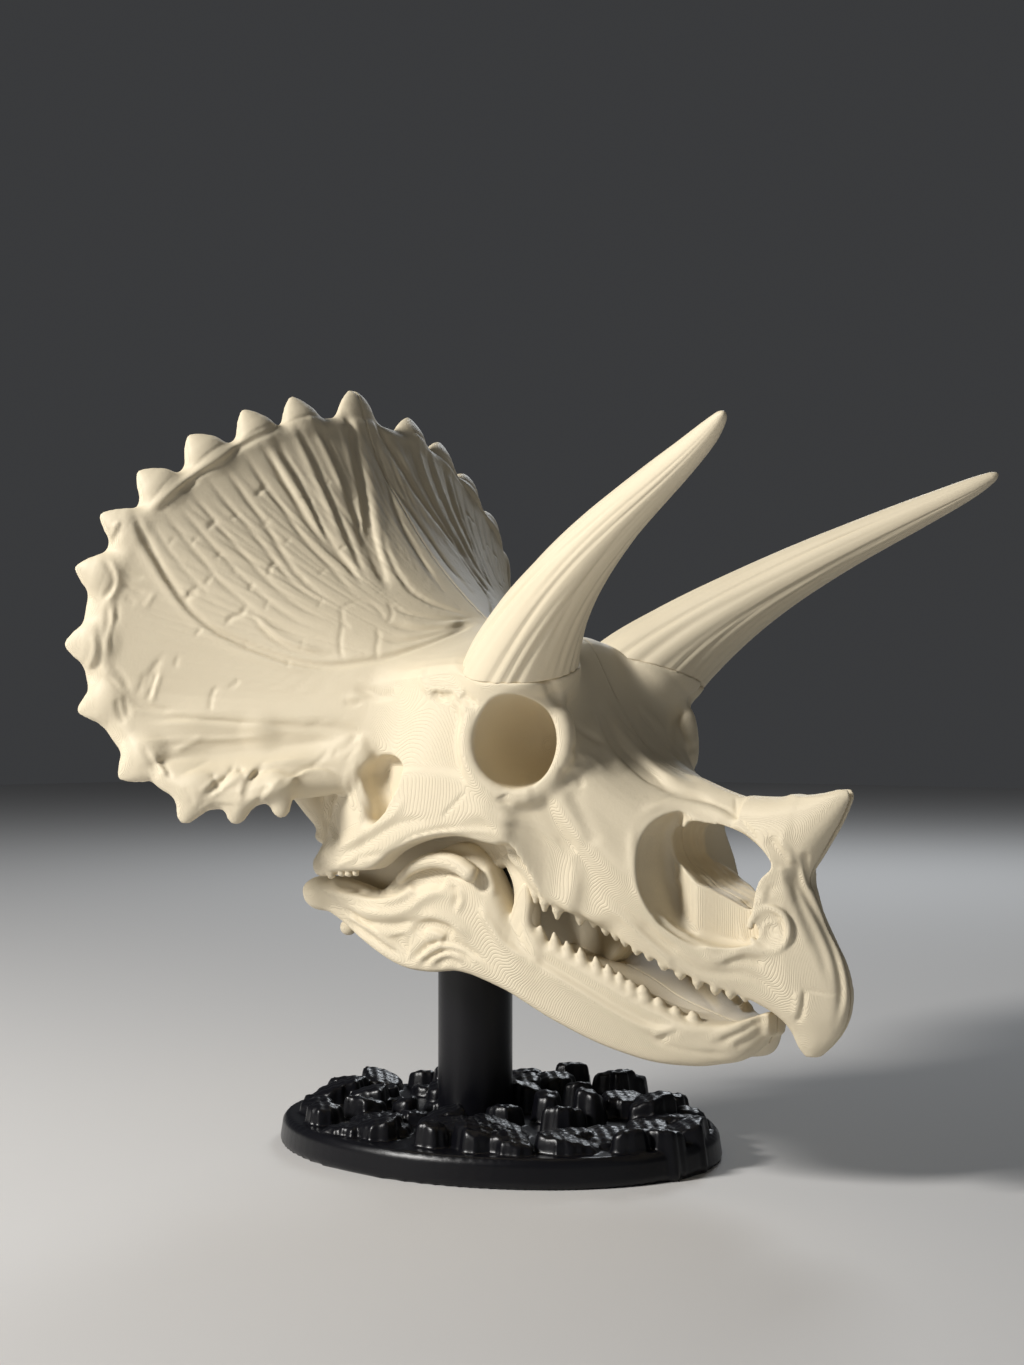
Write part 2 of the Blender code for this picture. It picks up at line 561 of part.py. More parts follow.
def spike_mesh(fraction, height, half):
    """One spike on the rim of the right side: a flattened, rounded cone."""
    tip = line_point(TIP_LINE, fraction)
    out = spike_direction(fraction)
    tangent = line_point(TIP_LINE, min(fraction + 0.01, 1)) - line_point(TIP_LINE, fraction - 0.01)
    tangent = (tangent - out * tangent.dot(out)).normalized()
    thick = out.cross(tangent).normalized()
    if thick.x > 0:
        thick = -thick
    root = tip - out * (height + SPIKE_ROOT)
    rings = []
    for share, width in SPIKE_TAPER:
        middle = root.lerp(tip, share) + thick * FRILL_THICKNESS * 0.45
        rings.append([middle + (tangent * math.cos(a) + thick * SPIKE_FLATNESS * math.sin(a)) * half * width
                      for a in np.linspace(0, 2 * math.pi, 10, endpoint=False)])
    return loft(rings)


def midline_spike_mesh():
    """Paired spike on the midline at the top of the frill."""
    rings = []
    thick, wide = MIDLINE_SPIKE_HALF
    for share, width in MIDLINE_SPIKE_TAPER:
        middle = MIDLINE_SPIKE[0].lerp(MIDLINE_SPIKE[1], share)
        rings.append([middle + Vector((thick * width * math.sin(a), wide * width * math.cos(a), 0))
                      for a in np.linspace(0, 2 * math.pi, 12, endpoint=False)])
    return loft(rings)


def teeth_mesh(places, size, height_of, half_width_of, direction):
    """Row of pointed teeth on the right side."""
    first, last, count = places
    length, radius = size
    row = []
    for x in np.linspace(first, last, count):
        bm = bmesh.new()
        bmesh.ops.create_cone(bm, cap_ends=True, segments=5, radius1=radius, radius2=radius * 0.25,
                              depth=length * 1.6)
        flip = Matrix.Rotation(math.pi if direction < 0 else 0.0, 4, "X")
        shift = Vector((x, -half_width_of(x), height_of(x) + direction * length * 0.2))
        bmesh.ops.transform(bm, matrix=Matrix.Translation(shift) @ flip, verts=bm.verts)
        row.append(bm)
    return merged(row)


# ---------------------------------------------------------------- lower jaw
def jaw_mesh():
    """Right half of the lower jaw as a bar that fills in at the chin, lofted along X."""
    rings = []
    for x in np.linspace(JAW_BACK, JAW_FRONT, JAW_STATIONS):
        top = along(JAW_TOP, x)
        bottom = along(JAW_BOTTOM, x)
        wide = along(JAW_HALF_WIDTH, x)
        inner = max(wide - along(JAW_THICKNESS, x), -0.002)
        rings.append([(x, -(wide * outer_share + inner * inner_share), bottom + (top - bottom) * rise)
                      for rise, outer_share, inner_share in JAW_SECTION])
    return loft(rings)


# ---------------------------------------------------------------- stand
def base_mesh():
    """Oval base: a low drafted slab with a floor of rocks fused on top."""
    pieces = []
    slab_mesh = bmesh.new()
    bmesh.ops.create_cone(slab_mesh, cap_ends=True, segments=72, radius1=1.0, radius2=BASE_DRAFT,
                          depth=BASE_HEIGHT + BASE_SPARE)
    bmesh.ops.transform(slab_mesh, matrix=Matrix.Diagonal((BASE_HALF_LENGTH, BASE_HALF_WIDTH, 1, 1)),
                        verts=slab_mesh.verts)
    bmesh.ops.translate(slab_mesh, vec=(0, 0, (BASE_HEIGHT - BASE_SPARE) / 2), verts=slab_mesh.verts)
    pieces.append(slab_mesh)
    lumps = np.random.default_rng(7)
    for share, count, size in ROCK_RINGS:
        for i in range(count):
            angle = 2 * math.pi * (i + lumps.uniform(-0.25, 0.25)) / count
            radius = size * lumps.uniform(0.75, 1.2)
            rise = ROCK_HEIGHT * lumps.uniform(0.7, 1.5) * (1 - ROCK_LEAN * math.cos(angle))
            rock = bmesh.new()
            bmesh.ops.create_icosphere(rock, subdivisions=2, radius=1.0)
            for vert in rock.verts:
                vert.co *= 1 + lumps.uniform(-0.13, 0.13)
            scale = Matrix.Diagonal((radius, radius * lumps.uniform(0.8, 1.1), rise * 1.35, 1))
            reach = share - radius / BASE_HALF_LENGTH * 0.35
            place = Vector((BASE_HALF_LENGTH * reach * math.cos(angle),
                            BASE_HALF_WIDTH * reach * math.sin(angle), BASE_HEIGHT * 0.8))
            bmesh.ops.transform(rock, matrix=Matrix.Translation(place) @ scale, verts=rock.verts)
            pieces.append(rock)
    bm = merged(pieces)
    bmesh.ops.rotate(bm, cent=(0, 0, 0), matrix=Matrix.Rotation(BASE_TURN, 3, "Z"), verts=bm.verts)
    return bm


def cylinder_mesh(radius, low, high, segments):
    """Upright cylinder on the post's axis."""
    bm = bmesh.new()
    bmesh.ops.create_cone(bm, cap_ends=True, segments=segments, radius1=radius, radius2=radius,
                          depth=high - low)
    bmesh.ops.translate(bm, vec=(POST_CENTRE[0], POST_CENTRE[1], (low + high) / 2), verts=bm.verts)
    return bm


# ---------------------------------------------------------------- scene
def make_material(name, colour, roughness):
    """Plain plastic material."""
    material = bpy.data.materials.new(name)
    material.use_nodes = True
    shader = material.node_tree.nodes["Principled BSDF"]
    shader.inputs["Base Color"].default_value = colour
    shader.inputs["Roughness"].default_value = roughness
    shader.inputs["Metallic"].default_value = 0.0
    return material


def dress(obj, material):
    """Give an object its only material and soft shading."""
    obj.data.materials.clear()
    obj.data.materials.append(material)
    obj.data.shade_smooth()
    obj.data.set_sharp_from_angle(angle=math.radians(50))


def cut_openings(skull, cutters):
    """Hollow the eye socket, the opening behind it, the nostril and the post's hole."""
    socket = bmesh.new()
    bmesh.ops.create_uvsphere(socket, u_segments=20, v_segments=12, radius=1.0)
    size = Matrix.Diagonal((ORBIT_RADIUS_ALONG, ORBIT_RADIUS_UP, ORBIT_DEPTH, 1))
    bmesh.ops.transform(socket, matrix=orbit_frame() @ size, verts=socket.verts)
    post_hole = cylinder_mesh(POST_RADIUS + GAP, 0.05, POST_TOP + GAP, 32)
    fenestra = round_outline(FENESTRA_OUTLINE, 16)
    nostril = round_outline(NOSTRIL_OUTLINE, 26)
    window = round_outline(NOSTRIL_WINDOW, 16)
    for cutter in (
        to_object("cut_orbit", socket, cutters),
        prism("cut_fenestra", fenestra, -FENESTRA_DEPTH[0], -FENESTRA_DEPTH[1], 0.9, cutters),
        prism("cut_nostril", nostril, -NOSTRIL_MOUTH, -NOSTRIL_FLOOR, 0.93, cutters),
        prism("cut_window", window, -NOSTRIL_MOUTH, 0.010, 1.0, cutters),
        to_object("cut_post", post_hole, cutters),
    ):
        boolean(skull, guide(cutter), "DIFFERENCE")


def build_upper(parts, cutters):
    """Right half of the upper skull, parted into its nodes."""
    boss = horn_mesh(0.0, 0.20, 16, 6)
    cut_flat(boss, HORN_SEAT - HORN_SEAT_NORMAL * GAP, HORN_SEAT_NORMAL)
    occiput_bar = tube_mesh(OCCIPUT_BAR, OCCIPUT_BAR_RADIUS, 12)
    shells = [cranium_mesh(), beak_mesh(), nose_horn_mesh(), frill_mesh(), midline_spike_mesh(),
              ball_mesh(CONDYLE_CENTRE, CONDYLE_RADIUS)]
    for shell in (flange_mesh(), bar_mesh(), orbit_rim_mesh(), boss, occiput_bar):
        shells.append(mirrored(shell))
        shells.append(shell)
    for fraction, height, half in SPIKES:
        spike = spike_mesh(fraction, height, half)
        shells.append(mirrored(spike))
        shells.append(spike)
    skull = to_object("skull_right", merged(shells), parts)
    fuse(skull, 2 * SKULL_FACES, 3)
    left_side = slab("midline", Vector((0, -GAP / 2, 0.15)), Vector((0, 1, 0)), cutters)
    boolean(skull, left_side, "DIFFERENCE")
    cut_openings(skull, cutters)
    foot = cut_flat(horn_mesh(-0.02, 0.5, 18, 12, GAP), HORN_SEAT, -HORN_SEAT_NORMAL)
    boolean(skull, guide(to_object("cut_horn_seat", foot, cutters)), "DIFFERENCE")
    largest_piece(skull)

    cranium, frill = part_by_plane(skull, FRILL_CUT, "cranium_right", "frill_right", parts, cutters)
    face, cranium = part_by_plane(cranium, FACE_CUT, "face_right", "cranium_right", parts, cutters)
    nose, face = part_by_plane(face, NOSE_CUT, "nose_horn_right", "face_right", parts, cutters)
    beak, face = part_by_plane(face, BEAK_CUT, "beak_right", "face_right", parts, cutters)
    cheek = cut_cheek(cranium, parts, cutters)
    teeth = teeth_mesh(UPPER_TEETH, UPPER_TOOTH, lambda x: along(EDGE_HEIGHT, x) - UPPER_TOOTH_SEAT[0],
                       lambda x: along(EDGE_HALF_WIDTH, x) - UPPER_TOOTH_SEAT[1], -1)
    boolean(face, guide(to_object("upper_teeth", teeth, cutters)), "UNION")
    largest_piece(face)
    return [frill, cranium, cheek, face, nose, beak]


def cut_cheek(cranium, parts, cutters):
    """Part the outer lower rim of the head from the cranium: the cheek."""
    point, normal = CHEEK_CUT
    cheek = copy_of(cranium, "cheek_right", parts)
    for obj, inset, operation in ((cheek, GAP / 2, "INTERSECT"), (cranium, -GAP / 2, "DIFFERENCE")):
        bm = bmesh.new()
        bmesh.ops.create_cube(bm, size=0.3)
        bmesh.ops.translate(bm, vec=(0, -0.15 - CHEEK_INNER - inset, 0.15), verts=bm.verts)
        cut_flat(bm, point + normal * inset, -normal)
        boolean(obj, guide(to_object("cheek_box_" + operation.lower(), bm, cutters)), operation)
        largest_piece(obj)
    return cheek


def build_horn(parts, cutters):
    """Right brow horn, cut flat where it is seated."""
    horn = to_object("brow_horn_right", horn_mesh(-0.02, 1.0, 12, 11), parts)
    below = slab("cut_horn_foot", HORN_SEAT + HORN_SEAT_NORMAL * (GAP / 2), -HORN_SEAT_NORMAL, cutters)
    boolean(horn, below, "DIFFERENCE")
    return largest_piece(horn)


def build_jaw(parts, cutters):
    """Right half of the lower jaw, parted into the jaw and the chin."""
    shell = jaw_mesh()
    jaw = to_object("jaw_right", merged([mirrored(shell), shell]), parts)
    fuse(jaw, 2 * JAW_FACES, 3)
    left_side = slab("jaw_midline", Vector((0, -GAP / 2, 0.06)), Vector((0, 1, 0)), cutters)
    boolean(jaw, left_side, "DIFFERENCE")
    teeth = teeth_mesh(LOWER_TEETH, LOWER_TOOTH, lambda x: along(JAW_TOP, x) + LOWER_TOOTH_SEAT[0],
                       lambda x: along(JAW_HALF_WIDTH, x) - LOWER_TOOTH_SEAT[1], 1)
    boolean(jaw, guide(to_object("lower_teeth", teeth, cutters)), "UNION")
    chin, jaw = part_by_plane(jaw, CHIN_CUT, "chin_right", "jaw_right", parts, cutters)
    return [jaw, chin]


def build_stand(parts, cutters):
    """Base and post of the stand."""
    base = to_object("stand_base", base_mesh(), parts)
    fuse(base, BASE_FACES, 1)
    boolean(base, slab("under_base", Vector((0, 0, 0)), Vector((0, 0, -1)), cutters), "DIFFERENCE")
    socket = cylinder_mesh(POST_RADIUS + GAP, BASE_HEIGHT / 2, 0.08, 32)
    boolean(base, guide(to_object("cut_base", socket, cutters)), "DIFFERENCE")
    largest_piece(base)
    post = to_object("stand_post", cylinder_mesh(POST_RADIUS, BASE_HEIGHT / 2 + GAP, POST_TOP, 32), parts)
    return [base, post]


def main():
    """Build every piece of the model."""
    for obj in list(bpy.data.objects):
        bpy.data.objects.remove(obj, do_unlink=True)
    parts = bpy.data.collections.new("triceratops_skull_model")
    cutters = bpy.data.collections.new("cutters")
    for collection in (parts, cutters):
        bpy.context.scene.collection.children.link(collection)
    bone = make_material("bone_plastic", BONE, 0.62)
    black = make_material("black_plastic", BLACK, 0.38)

    right = build_upper(parts, cutters) + [build_horn(parts, cutters)] + build_jaw(parts, cutters)
    for obj in right:
        dress(obj, bone)
        twin = copy_of(obj, obj.name.replace("_right", "_left"), parts)
        twin.data.transform(Matrix.Diagonal((1, -1, 1, 1)))
        twin.data.flip_normals()
    for obj in build_stand(parts, cutters):
        dress(obj, black)


main()
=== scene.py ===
"""Looks of the printed Triceratops skull on its black stand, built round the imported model.

The skull is shaped in millimetres as fields of signed distance in a half space: X towards the beak,
S the distance from the midline, Z up. Each finished skin is then placed twice, on the right (y = -s)
and on the left (y = s), in metres and in the model's own frame.
"""

import logging
import math
from abc import ABC, abstractmethod
from collections.abc import Callable, Sequence
from dataclasses import dataclass, field
from enum import Enum

import bmesh
import bpy
import numpy as np
from mathutils import Matrix, Vector
from mathutils.kdtree import KDTree


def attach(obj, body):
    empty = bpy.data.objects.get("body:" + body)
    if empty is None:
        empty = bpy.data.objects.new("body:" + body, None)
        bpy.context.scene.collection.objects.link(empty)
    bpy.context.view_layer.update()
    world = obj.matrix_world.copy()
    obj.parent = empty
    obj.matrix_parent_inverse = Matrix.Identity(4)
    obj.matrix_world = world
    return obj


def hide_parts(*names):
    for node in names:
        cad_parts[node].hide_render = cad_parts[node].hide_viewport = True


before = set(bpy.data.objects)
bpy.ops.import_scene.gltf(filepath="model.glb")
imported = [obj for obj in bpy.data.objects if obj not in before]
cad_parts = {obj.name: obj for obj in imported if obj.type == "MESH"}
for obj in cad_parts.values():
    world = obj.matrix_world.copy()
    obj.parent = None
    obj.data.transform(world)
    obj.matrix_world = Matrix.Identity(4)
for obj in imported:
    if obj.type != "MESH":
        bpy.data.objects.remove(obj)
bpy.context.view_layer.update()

LOG = logging.getLogger("skull_model")
MM = 0.001  # metres in a millimetre
FAR = 40.0  # a field's value where no shape is near
TINY = 1e-6  # keeps divisions away from zero
CUT_TOLERANCE = 1e-7  # metres
Triple = tuple[float, float, float]
Pair = tuple[float, float]
Array = np.ndarray
Box = tuple[Array, Array]


class Side(Enum):
    """Side of the animal; the value is the sign of Y."""

    RIGHT = -1
    LEFT = 1


# ------------------------------------------------------------------------------------------ curves
class Run:
    """Smooth line of values at rising places, held level past its ends."""

    def __init__(self, *knots: Pair) -> None:
        """Store the knots and the slope at each.

        Args:
            knots: Pairs of place and value.
        """
        self.places, self.levels = (np.array(column, float) for column in zip(*knots))
        self.slopes = np.gradient(self.levels, self.places)

    def __call__(self, place: Array | float) -> Array:
        """Read the line.

        Args:
            place: One place or many.

        Returns:
            The values there.
        """
        at = np.clip(place, self.places[0], self.places[-1])
        i = np.clip(np.searchsorted(self.places, at, side="right") - 1, 0, len(self.places) - 2)
        span = self.places[i + 1] - self.places[i]
        t = (at - self.places[i]) / span
        low = self.levels[i] * (1 + 2 * t) * (1 - t) ** 2 + self.slopes[i] * span * t * (1 - t) ** 2
        high = self.levels[i + 1] * t * t * (3 - 2 * t) - self.slopes[i + 1] * span * t * t * (1 - t)
        return low + high


class Path:
    """Smooth line through points in space, read by fractions of its length."""

    def __init__(self, points: Sequence[Triple]) -> None:
        """Lay one run along each axis.

        Args:
            points: Points that the line passes through.
        """
        pts = np.array(points, float)
        steps = np.linalg.norm(np.diff(pts, axis=0), axis=1)
        places = np.concatenate(([0.0], np.cumsum(steps))) / steps.sum()
        self.length = float(steps.sum())
        self.runs = [Run(*zip(places, pts[:, axis])) for axis in range(pts.shape[1])]

    def __call__(self, fraction: Array | float) -> Array:
        """Points at fractions of the length, the last axis being X, S, Z."""
        return np.stack([run(fraction) for run in self.runs], axis=-1)


def closed_curve(points: Sequence[Sequence[float]], count: int) -> Array:
    """Round a closed outline.

    Args:
        points: Corners that the curve passes through.
        count: How many points to return.

    Returns:
        Points at even parameter steps round the curve.
    """
    pts = np.array(points, float)
    place = np.arange(count) * len(pts) / count
    k = place.astype(int)
    t = (place - k)[:, None]
    a, b, c, d = (pts[(k + n) % len(pts)] for n in (-1, 0, 1, 2))
    return 0.5 * (2 * b + (c - a) * t + (2 * a - 5 * b + 4 * c - d) * t**2 + (3 * b - a - 3 * c + d) * t**3)


def unit(vector: Sequence[float]) -> Array:
    """The same direction with length 1."""
    v = np.array(vector, float)
    return v / np.linalg.norm(v)


def outline_distance(first: Array, second: Array, outline: Array) -> Array:
    """Signed distances in a plane.

    Args:
        first: Coordinates along the plane's first axis.
        second: Coordinates along its second axis.
        outline: Corners of a closed outline in that plane.

    Returns:
        One distance for each pair of coordinates, negative inside the outline.
    """
    a, b = (part.reshape(-1, 1).astype(np.float32) for part in np.meshgrid(first, second, indexing="ij"))
    start = outline.astype(np.float32)
    end = np.roll(start, -1, axis=0)
    run = end - start
    to_a, to_b = a - start[:, 0], b - start[:, 1]
    share = np.clip((to_a * run[:, 0] + to_b * run[:, 1]) / np.maximum((run**2).sum(1), TINY), 0, 1)
    gap = np.sqrt(((to_a - share * run[:, 0]) ** 2 + (to_b - share * run[:, 1]) ** 2).min(axis=1))
    spans = (start[:, 1] > b) != (end[:, 1] > b)
    rise = np.where(np.abs(run[:, 1]) < 1e-9, 1e-9, run[:, 1])
    left = a < start[:, 0] + to_b / rise * run[:, 0]
    inside = (spans & left).sum(axis=1) % 2 == 1
    return np.where(inside, -gap, gap).reshape(len(first), len(second))


def soft_min(a: Array, b: Array, blend: float) -> Array:
    """The lower of two fields, with a fillet of about the blend's size where they cross.

    Args:
        a: One field.
        b: The other.
        blend: Size of the fillet.

    Returns:
        The joined field.
    """
    if blend <= 0:
        return np.minimum(a, b)
    h = np.clip(0.5 + 0.5 * (b - a) / blend, 0, 1)
    return b + (a - b) * h - blend * h * (1 - h)


def soft_max(a: Array, b: Array, blend: float) -> Array:
    """The higher of two fields, with a rounded edge of about the blend's size where they cross."""
    return -soft_min(-a, -b, blend)


def ramp(value: Array, low: float, high: float) -> Array:
    """Smooth step from 0 at low to 1 at high."""
    t = np.clip((value - low) / (high - low), 0, 1)
    return t * t * (3 - 2 * t)


def cube(x: Array, s: Array, z: Array) -> tuple[Array, Array, Array]:
    """Three rows of coordinates set out so that they combine into a block."""
    return x[:, None, None], s[None, :, None], z[None, None, :]


# ------------------------------------------------------------------------------------------ shapes
class Shape(ABC):
    """A solid known by its signed distance, negative inside."""

    fine = False

    @abstractmethod
    def box(self) -> Box:
        """Lowest and highest corner."""

    @abstractmethod
    def distance(self, *rows: Array) -> Array:
        """Distances on a block of points.

        Args:
            rows: Coordinates along X, away from the midline and along Z.

        Returns:
            A block of signed distances.
        """


@dataclass
class Loft(Shape):
    """Solid through closed outlines that stand across one axis."""

    axis: int
    places: Array
    outlines: Array

    def box(self) -> Box:
        """Lowest and highest corner.

        Returns:
            Both corners.
        """
        low, high = np.zeros(3), np.zeros(3)
        others = [i for i in range(3) if i != self.axis]
        low[self.axis], high[self.axis] = self.places[0], self.places[-1]
        low[others] = self.outlines.min(axis=(0, 1))
        high[others] = self.outlines.max(axis=(0, 1))
        return low, high

    def outline_at(self, place: float) -> Array:
        """Outline between the two nearest given ones.

        Args:
            place: Place along the axis.

        Returns:
            Corners of the outline.
        """
        i = int(np.clip(np.searchsorted(self.places, place) - 1, 0, len(self.places) - 2))
        t = float(np.clip((place - self.places[i]) / (self.places[i + 1] - self.places[i]), 0, 1))
        return self.outlines[i] * (1 - t) + self.outlines[i + 1] * t

    def distance(self, *rows: Array) -> Array:
        """Distances within each cross-section, closed by a flat at each end.

        Args:
            rows: Coordinates along X, away from the midline and along Z.

        Returns:
            A block of signed distances.
        """
        others = list(rows)
        across = others.pop(self.axis)
        layers = []
        for place in across:
            layer = outline_distance(*others, self.outline_at(place))
            layers.append(np.maximum(layer, max(place - self.places[-1], self.places[0] - place)))
        return np.stack(layers, axis=self.axis)


@dataclass
class Plate(Shape):
    """Plate with an outline in X and Z, whose middle follows a line away from the midline."""

    outline: Array
    middle: Callable[[Array], Array]
    thickness: float
    rounding: float = 1.0

    def box(self) -> Box:
        """Lowest and highest corner.

        Returns:
            Both corners.
        """
        low, high = self.outline.min(axis=0), self.outline.max(axis=0)
        sides = self.middle(np.linspace(low[0], high[0], 9))
        half = self.thickness / 2
        return np.array((low[0], sides.min() - half, low[1])), np.array((high[0], sides.max() + half, high[1]))

    def distance(self, *rows: Array) -> Array:
        """Distance to a rounded plate.

        Args:
            rows: Coordinates along X, away from the midline and along Z.

        Returns:
            A block of signed distances.
        """
        x, s, z = rows
        flat = outline_distance(x, z, self.outline)[:, None, :] + self.rounding
        deep = np.abs(s[None, :] - np.broadcast_to(self.middle(x), x.shape)[:, None]) - self.thickness / 2
        deep = deep[:, :, None] + self.rounding
        outside = np.sqrt(np.maximum(flat, 0) ** 2 + np.maximum(deep, 0) ** 2)
        return outside + np.minimum(np.maximum(flat, deep), 0) - self.rounding


@dataclass
class Rope(Shape):
    """Round bar through points, whose radius may change."""

    points: Array
    radii: Array
    flat: float = 1.0
    flat_way: Array = field(default_factory=lambda: np.array((0.0, 0.0, 1.0)))
    fine = True

    def box(self) -> Box:
        """Lowest and highest corner."""
        radius = self.radii.max()
        return self.points.min(axis=0) - radius, self.points.max(axis=0) + radius

    def distance(self, *rows: Array) -> Array:
        """Distance to the nearest stretch of the bar.

        Args:
            rows: Coordinates along X, away from the midline and along Z.

        Returns:
            A block of signed distances.
        """
        centre = self.points[0]
        block = [part - middle for part, middle in zip(cube(*rows), centre)]
        points = self.points - centre
        if self.flat != 1.0:
            way = self.flat_way
            lean = (block[0] * way[0] + block[1] * way[1] + block[2] * way[2]) * (1 / self.flat - 1)
            block = [part + lean * w for part, w in zip(block, way)]
            points = points + (points @ way)[:, None] * way * (1 / self.flat - 1)
        best = None
        for a, b, ra, rb in zip(points, points[1:], self.radii, self.radii[1:]):
            run = b - a
            t = sum((part - a[i]) * run[i] for i, part in enumerate(block)) / max(run @ run, 1e-9)
            t = np.clip(t, 0, 1)
            gap = np.sqrt(sum((part - a[i] - t * run[i]) ** 2 for i, part in enumerate(block)))
            gap -= ra + (rb - ra) * t
            best = gap if best is None else np.minimum(best, gap)
        return best * min(1.0, 0.5 + 0.5 * self.flat)


def slab(outline: Sequence[Pair], count: int, middle: float, thickness: float, rounding: float) -> Plate:
    """Plate at one distance from the midline with a smooth outline.

    Args:
        outline: Corners that the outline passes through.
        count: How many points the outline gets.
        middle: Distance from the midline.
        thickness: Thickness of the plate.
        rounding: Radius of its edges.

    Returns:
        The plate.
    """
    return Plate(closed_curve(outline, count), lambda x: np.full_like(x, middle), thickness, rounding)


def rope(points: Sequence[Triple], radii: Sequence[float], count: int = 9, **more: object) -> Rope:
    """Bar through a smooth line.

    Args:
        points: Points that the line passes through.
        radii: Radius at each of them.
        count: How many points the bar gets.
        more: Further fields of the bar.

    Returns:
        The bar.
    """
    path = Path([(*point, radius) for point, radius in zip(points, radii)])
    rows = path(np.linspace(0, 1, count))
    return Rope(rows[:, :3], rows[:, 3], **more)


@dataclass
class Bowl(Shape):
    """Ellipsoid with its own axes."""

    centre: Array
    axes: Array
    radii: Array

    def box(self) -> Box:
        """Lowest and highest corner."""
        reach = np.abs(self.axes.T * self.radii).sum(axis=1)
        return self.centre - reach, self.centre + reach

    def distance(self, *rows: Array) -> Array:
        """Near distance to the ellipsoid.

        Args:
            rows: Coordinates along X, away from the midline and along Z.

        Returns:
            A block of signed distances.
        """
        block = [part - middle for part, middle in zip(cube(*rows), self.centre)]
        near, far = 0.0, 0.0
        for axis, radius in zip(self.axes, self.radii):
            place = block[0] * axis[0] + block[1] * axis[1] + block[2] * axis[2]
            near = near + (place / radius) ** 2
            far = far + (place / radius**2) ** 2
        near = np.sqrt(near)
        return near * (near - 1) / np.maximum(np.sqrt(far), TINY)


def ball(centre: Triple, radii: Triple) -> Bowl:
    """Ellipsoid along the model's own axes."""
    return Bowl(np.array(centre), np.eye(3), np.array(radii))


@dataclass
class Clipped(Shape):
    """Another shape without what lies ahead of a plane."""

    shape: Shape
    point: Array
    normal: Array

    def box(self) -> Box:
        """Lowest and highest corner."""
        return self.shape.box()

    def distance(self, *rows: Array) -> Array:
        """Distance to what is left."""
        ahead = sum((part - p) * n for part, p, n in zip(cube(*rows), self.point, self.normal))
        return soft_max(self.shape.distance(*rows), ahead, 0.4)


# -------------------------------------------------------------------------------------------- grid
@dataclass
class Stroke:
    """One stroke of the modelling tool over the surface: where, how wide, how high."""

    points: Sequence[Triple]
    width: float
    height: float
    taper: float = 0.25

    def delta(self, places: Array) -> Array:
        """How far the surface moves.

        Args:
            places: Points near the surface.

        Returns:
            The height of the stroke at each.
        """
        line = np.array(self.points, np.float32)
        if len(line) > 2:
            line = Path(line)(np.linspace(0, 1, 3 * len(line))).astype(np.float32)
        lengths = np.concatenate(([0.0], np.cumsum(np.linalg.norm(np.diff(line, axis=0), axis=1))))
        nearest = np.full(len(places), 1e9, np.float32)
        fraction = np.zeros(len(places), np.float32)
        for i, (a, b) in enumerate(zip(line, line[1:])):
            run = b - a
            t = np.clip((places - a) @ run / max(float(run @ run), TINY), 0, 1)
            gap = ((places - a - t[:, None] * run) ** 2).sum(axis=1)
            closer = gap < nearest
            nearest = np.where(closer, gap, nearest)
            fraction = np.where(closer, (lengths[i] + t * (lengths[i + 1] - lengths[i])) / lengths[-1], fraction)
        fade = np.clip(np.minimum(fraction, 1 - fraction) / max(self.taper, 1e-3), 0, 1)
        fade = 0.15 + 0.85 * fade * fade * (3 - 2 * fade) if self.taper > 0 else 1.0
        return self.height * fade * np.exp(-nearest / self.width**2)


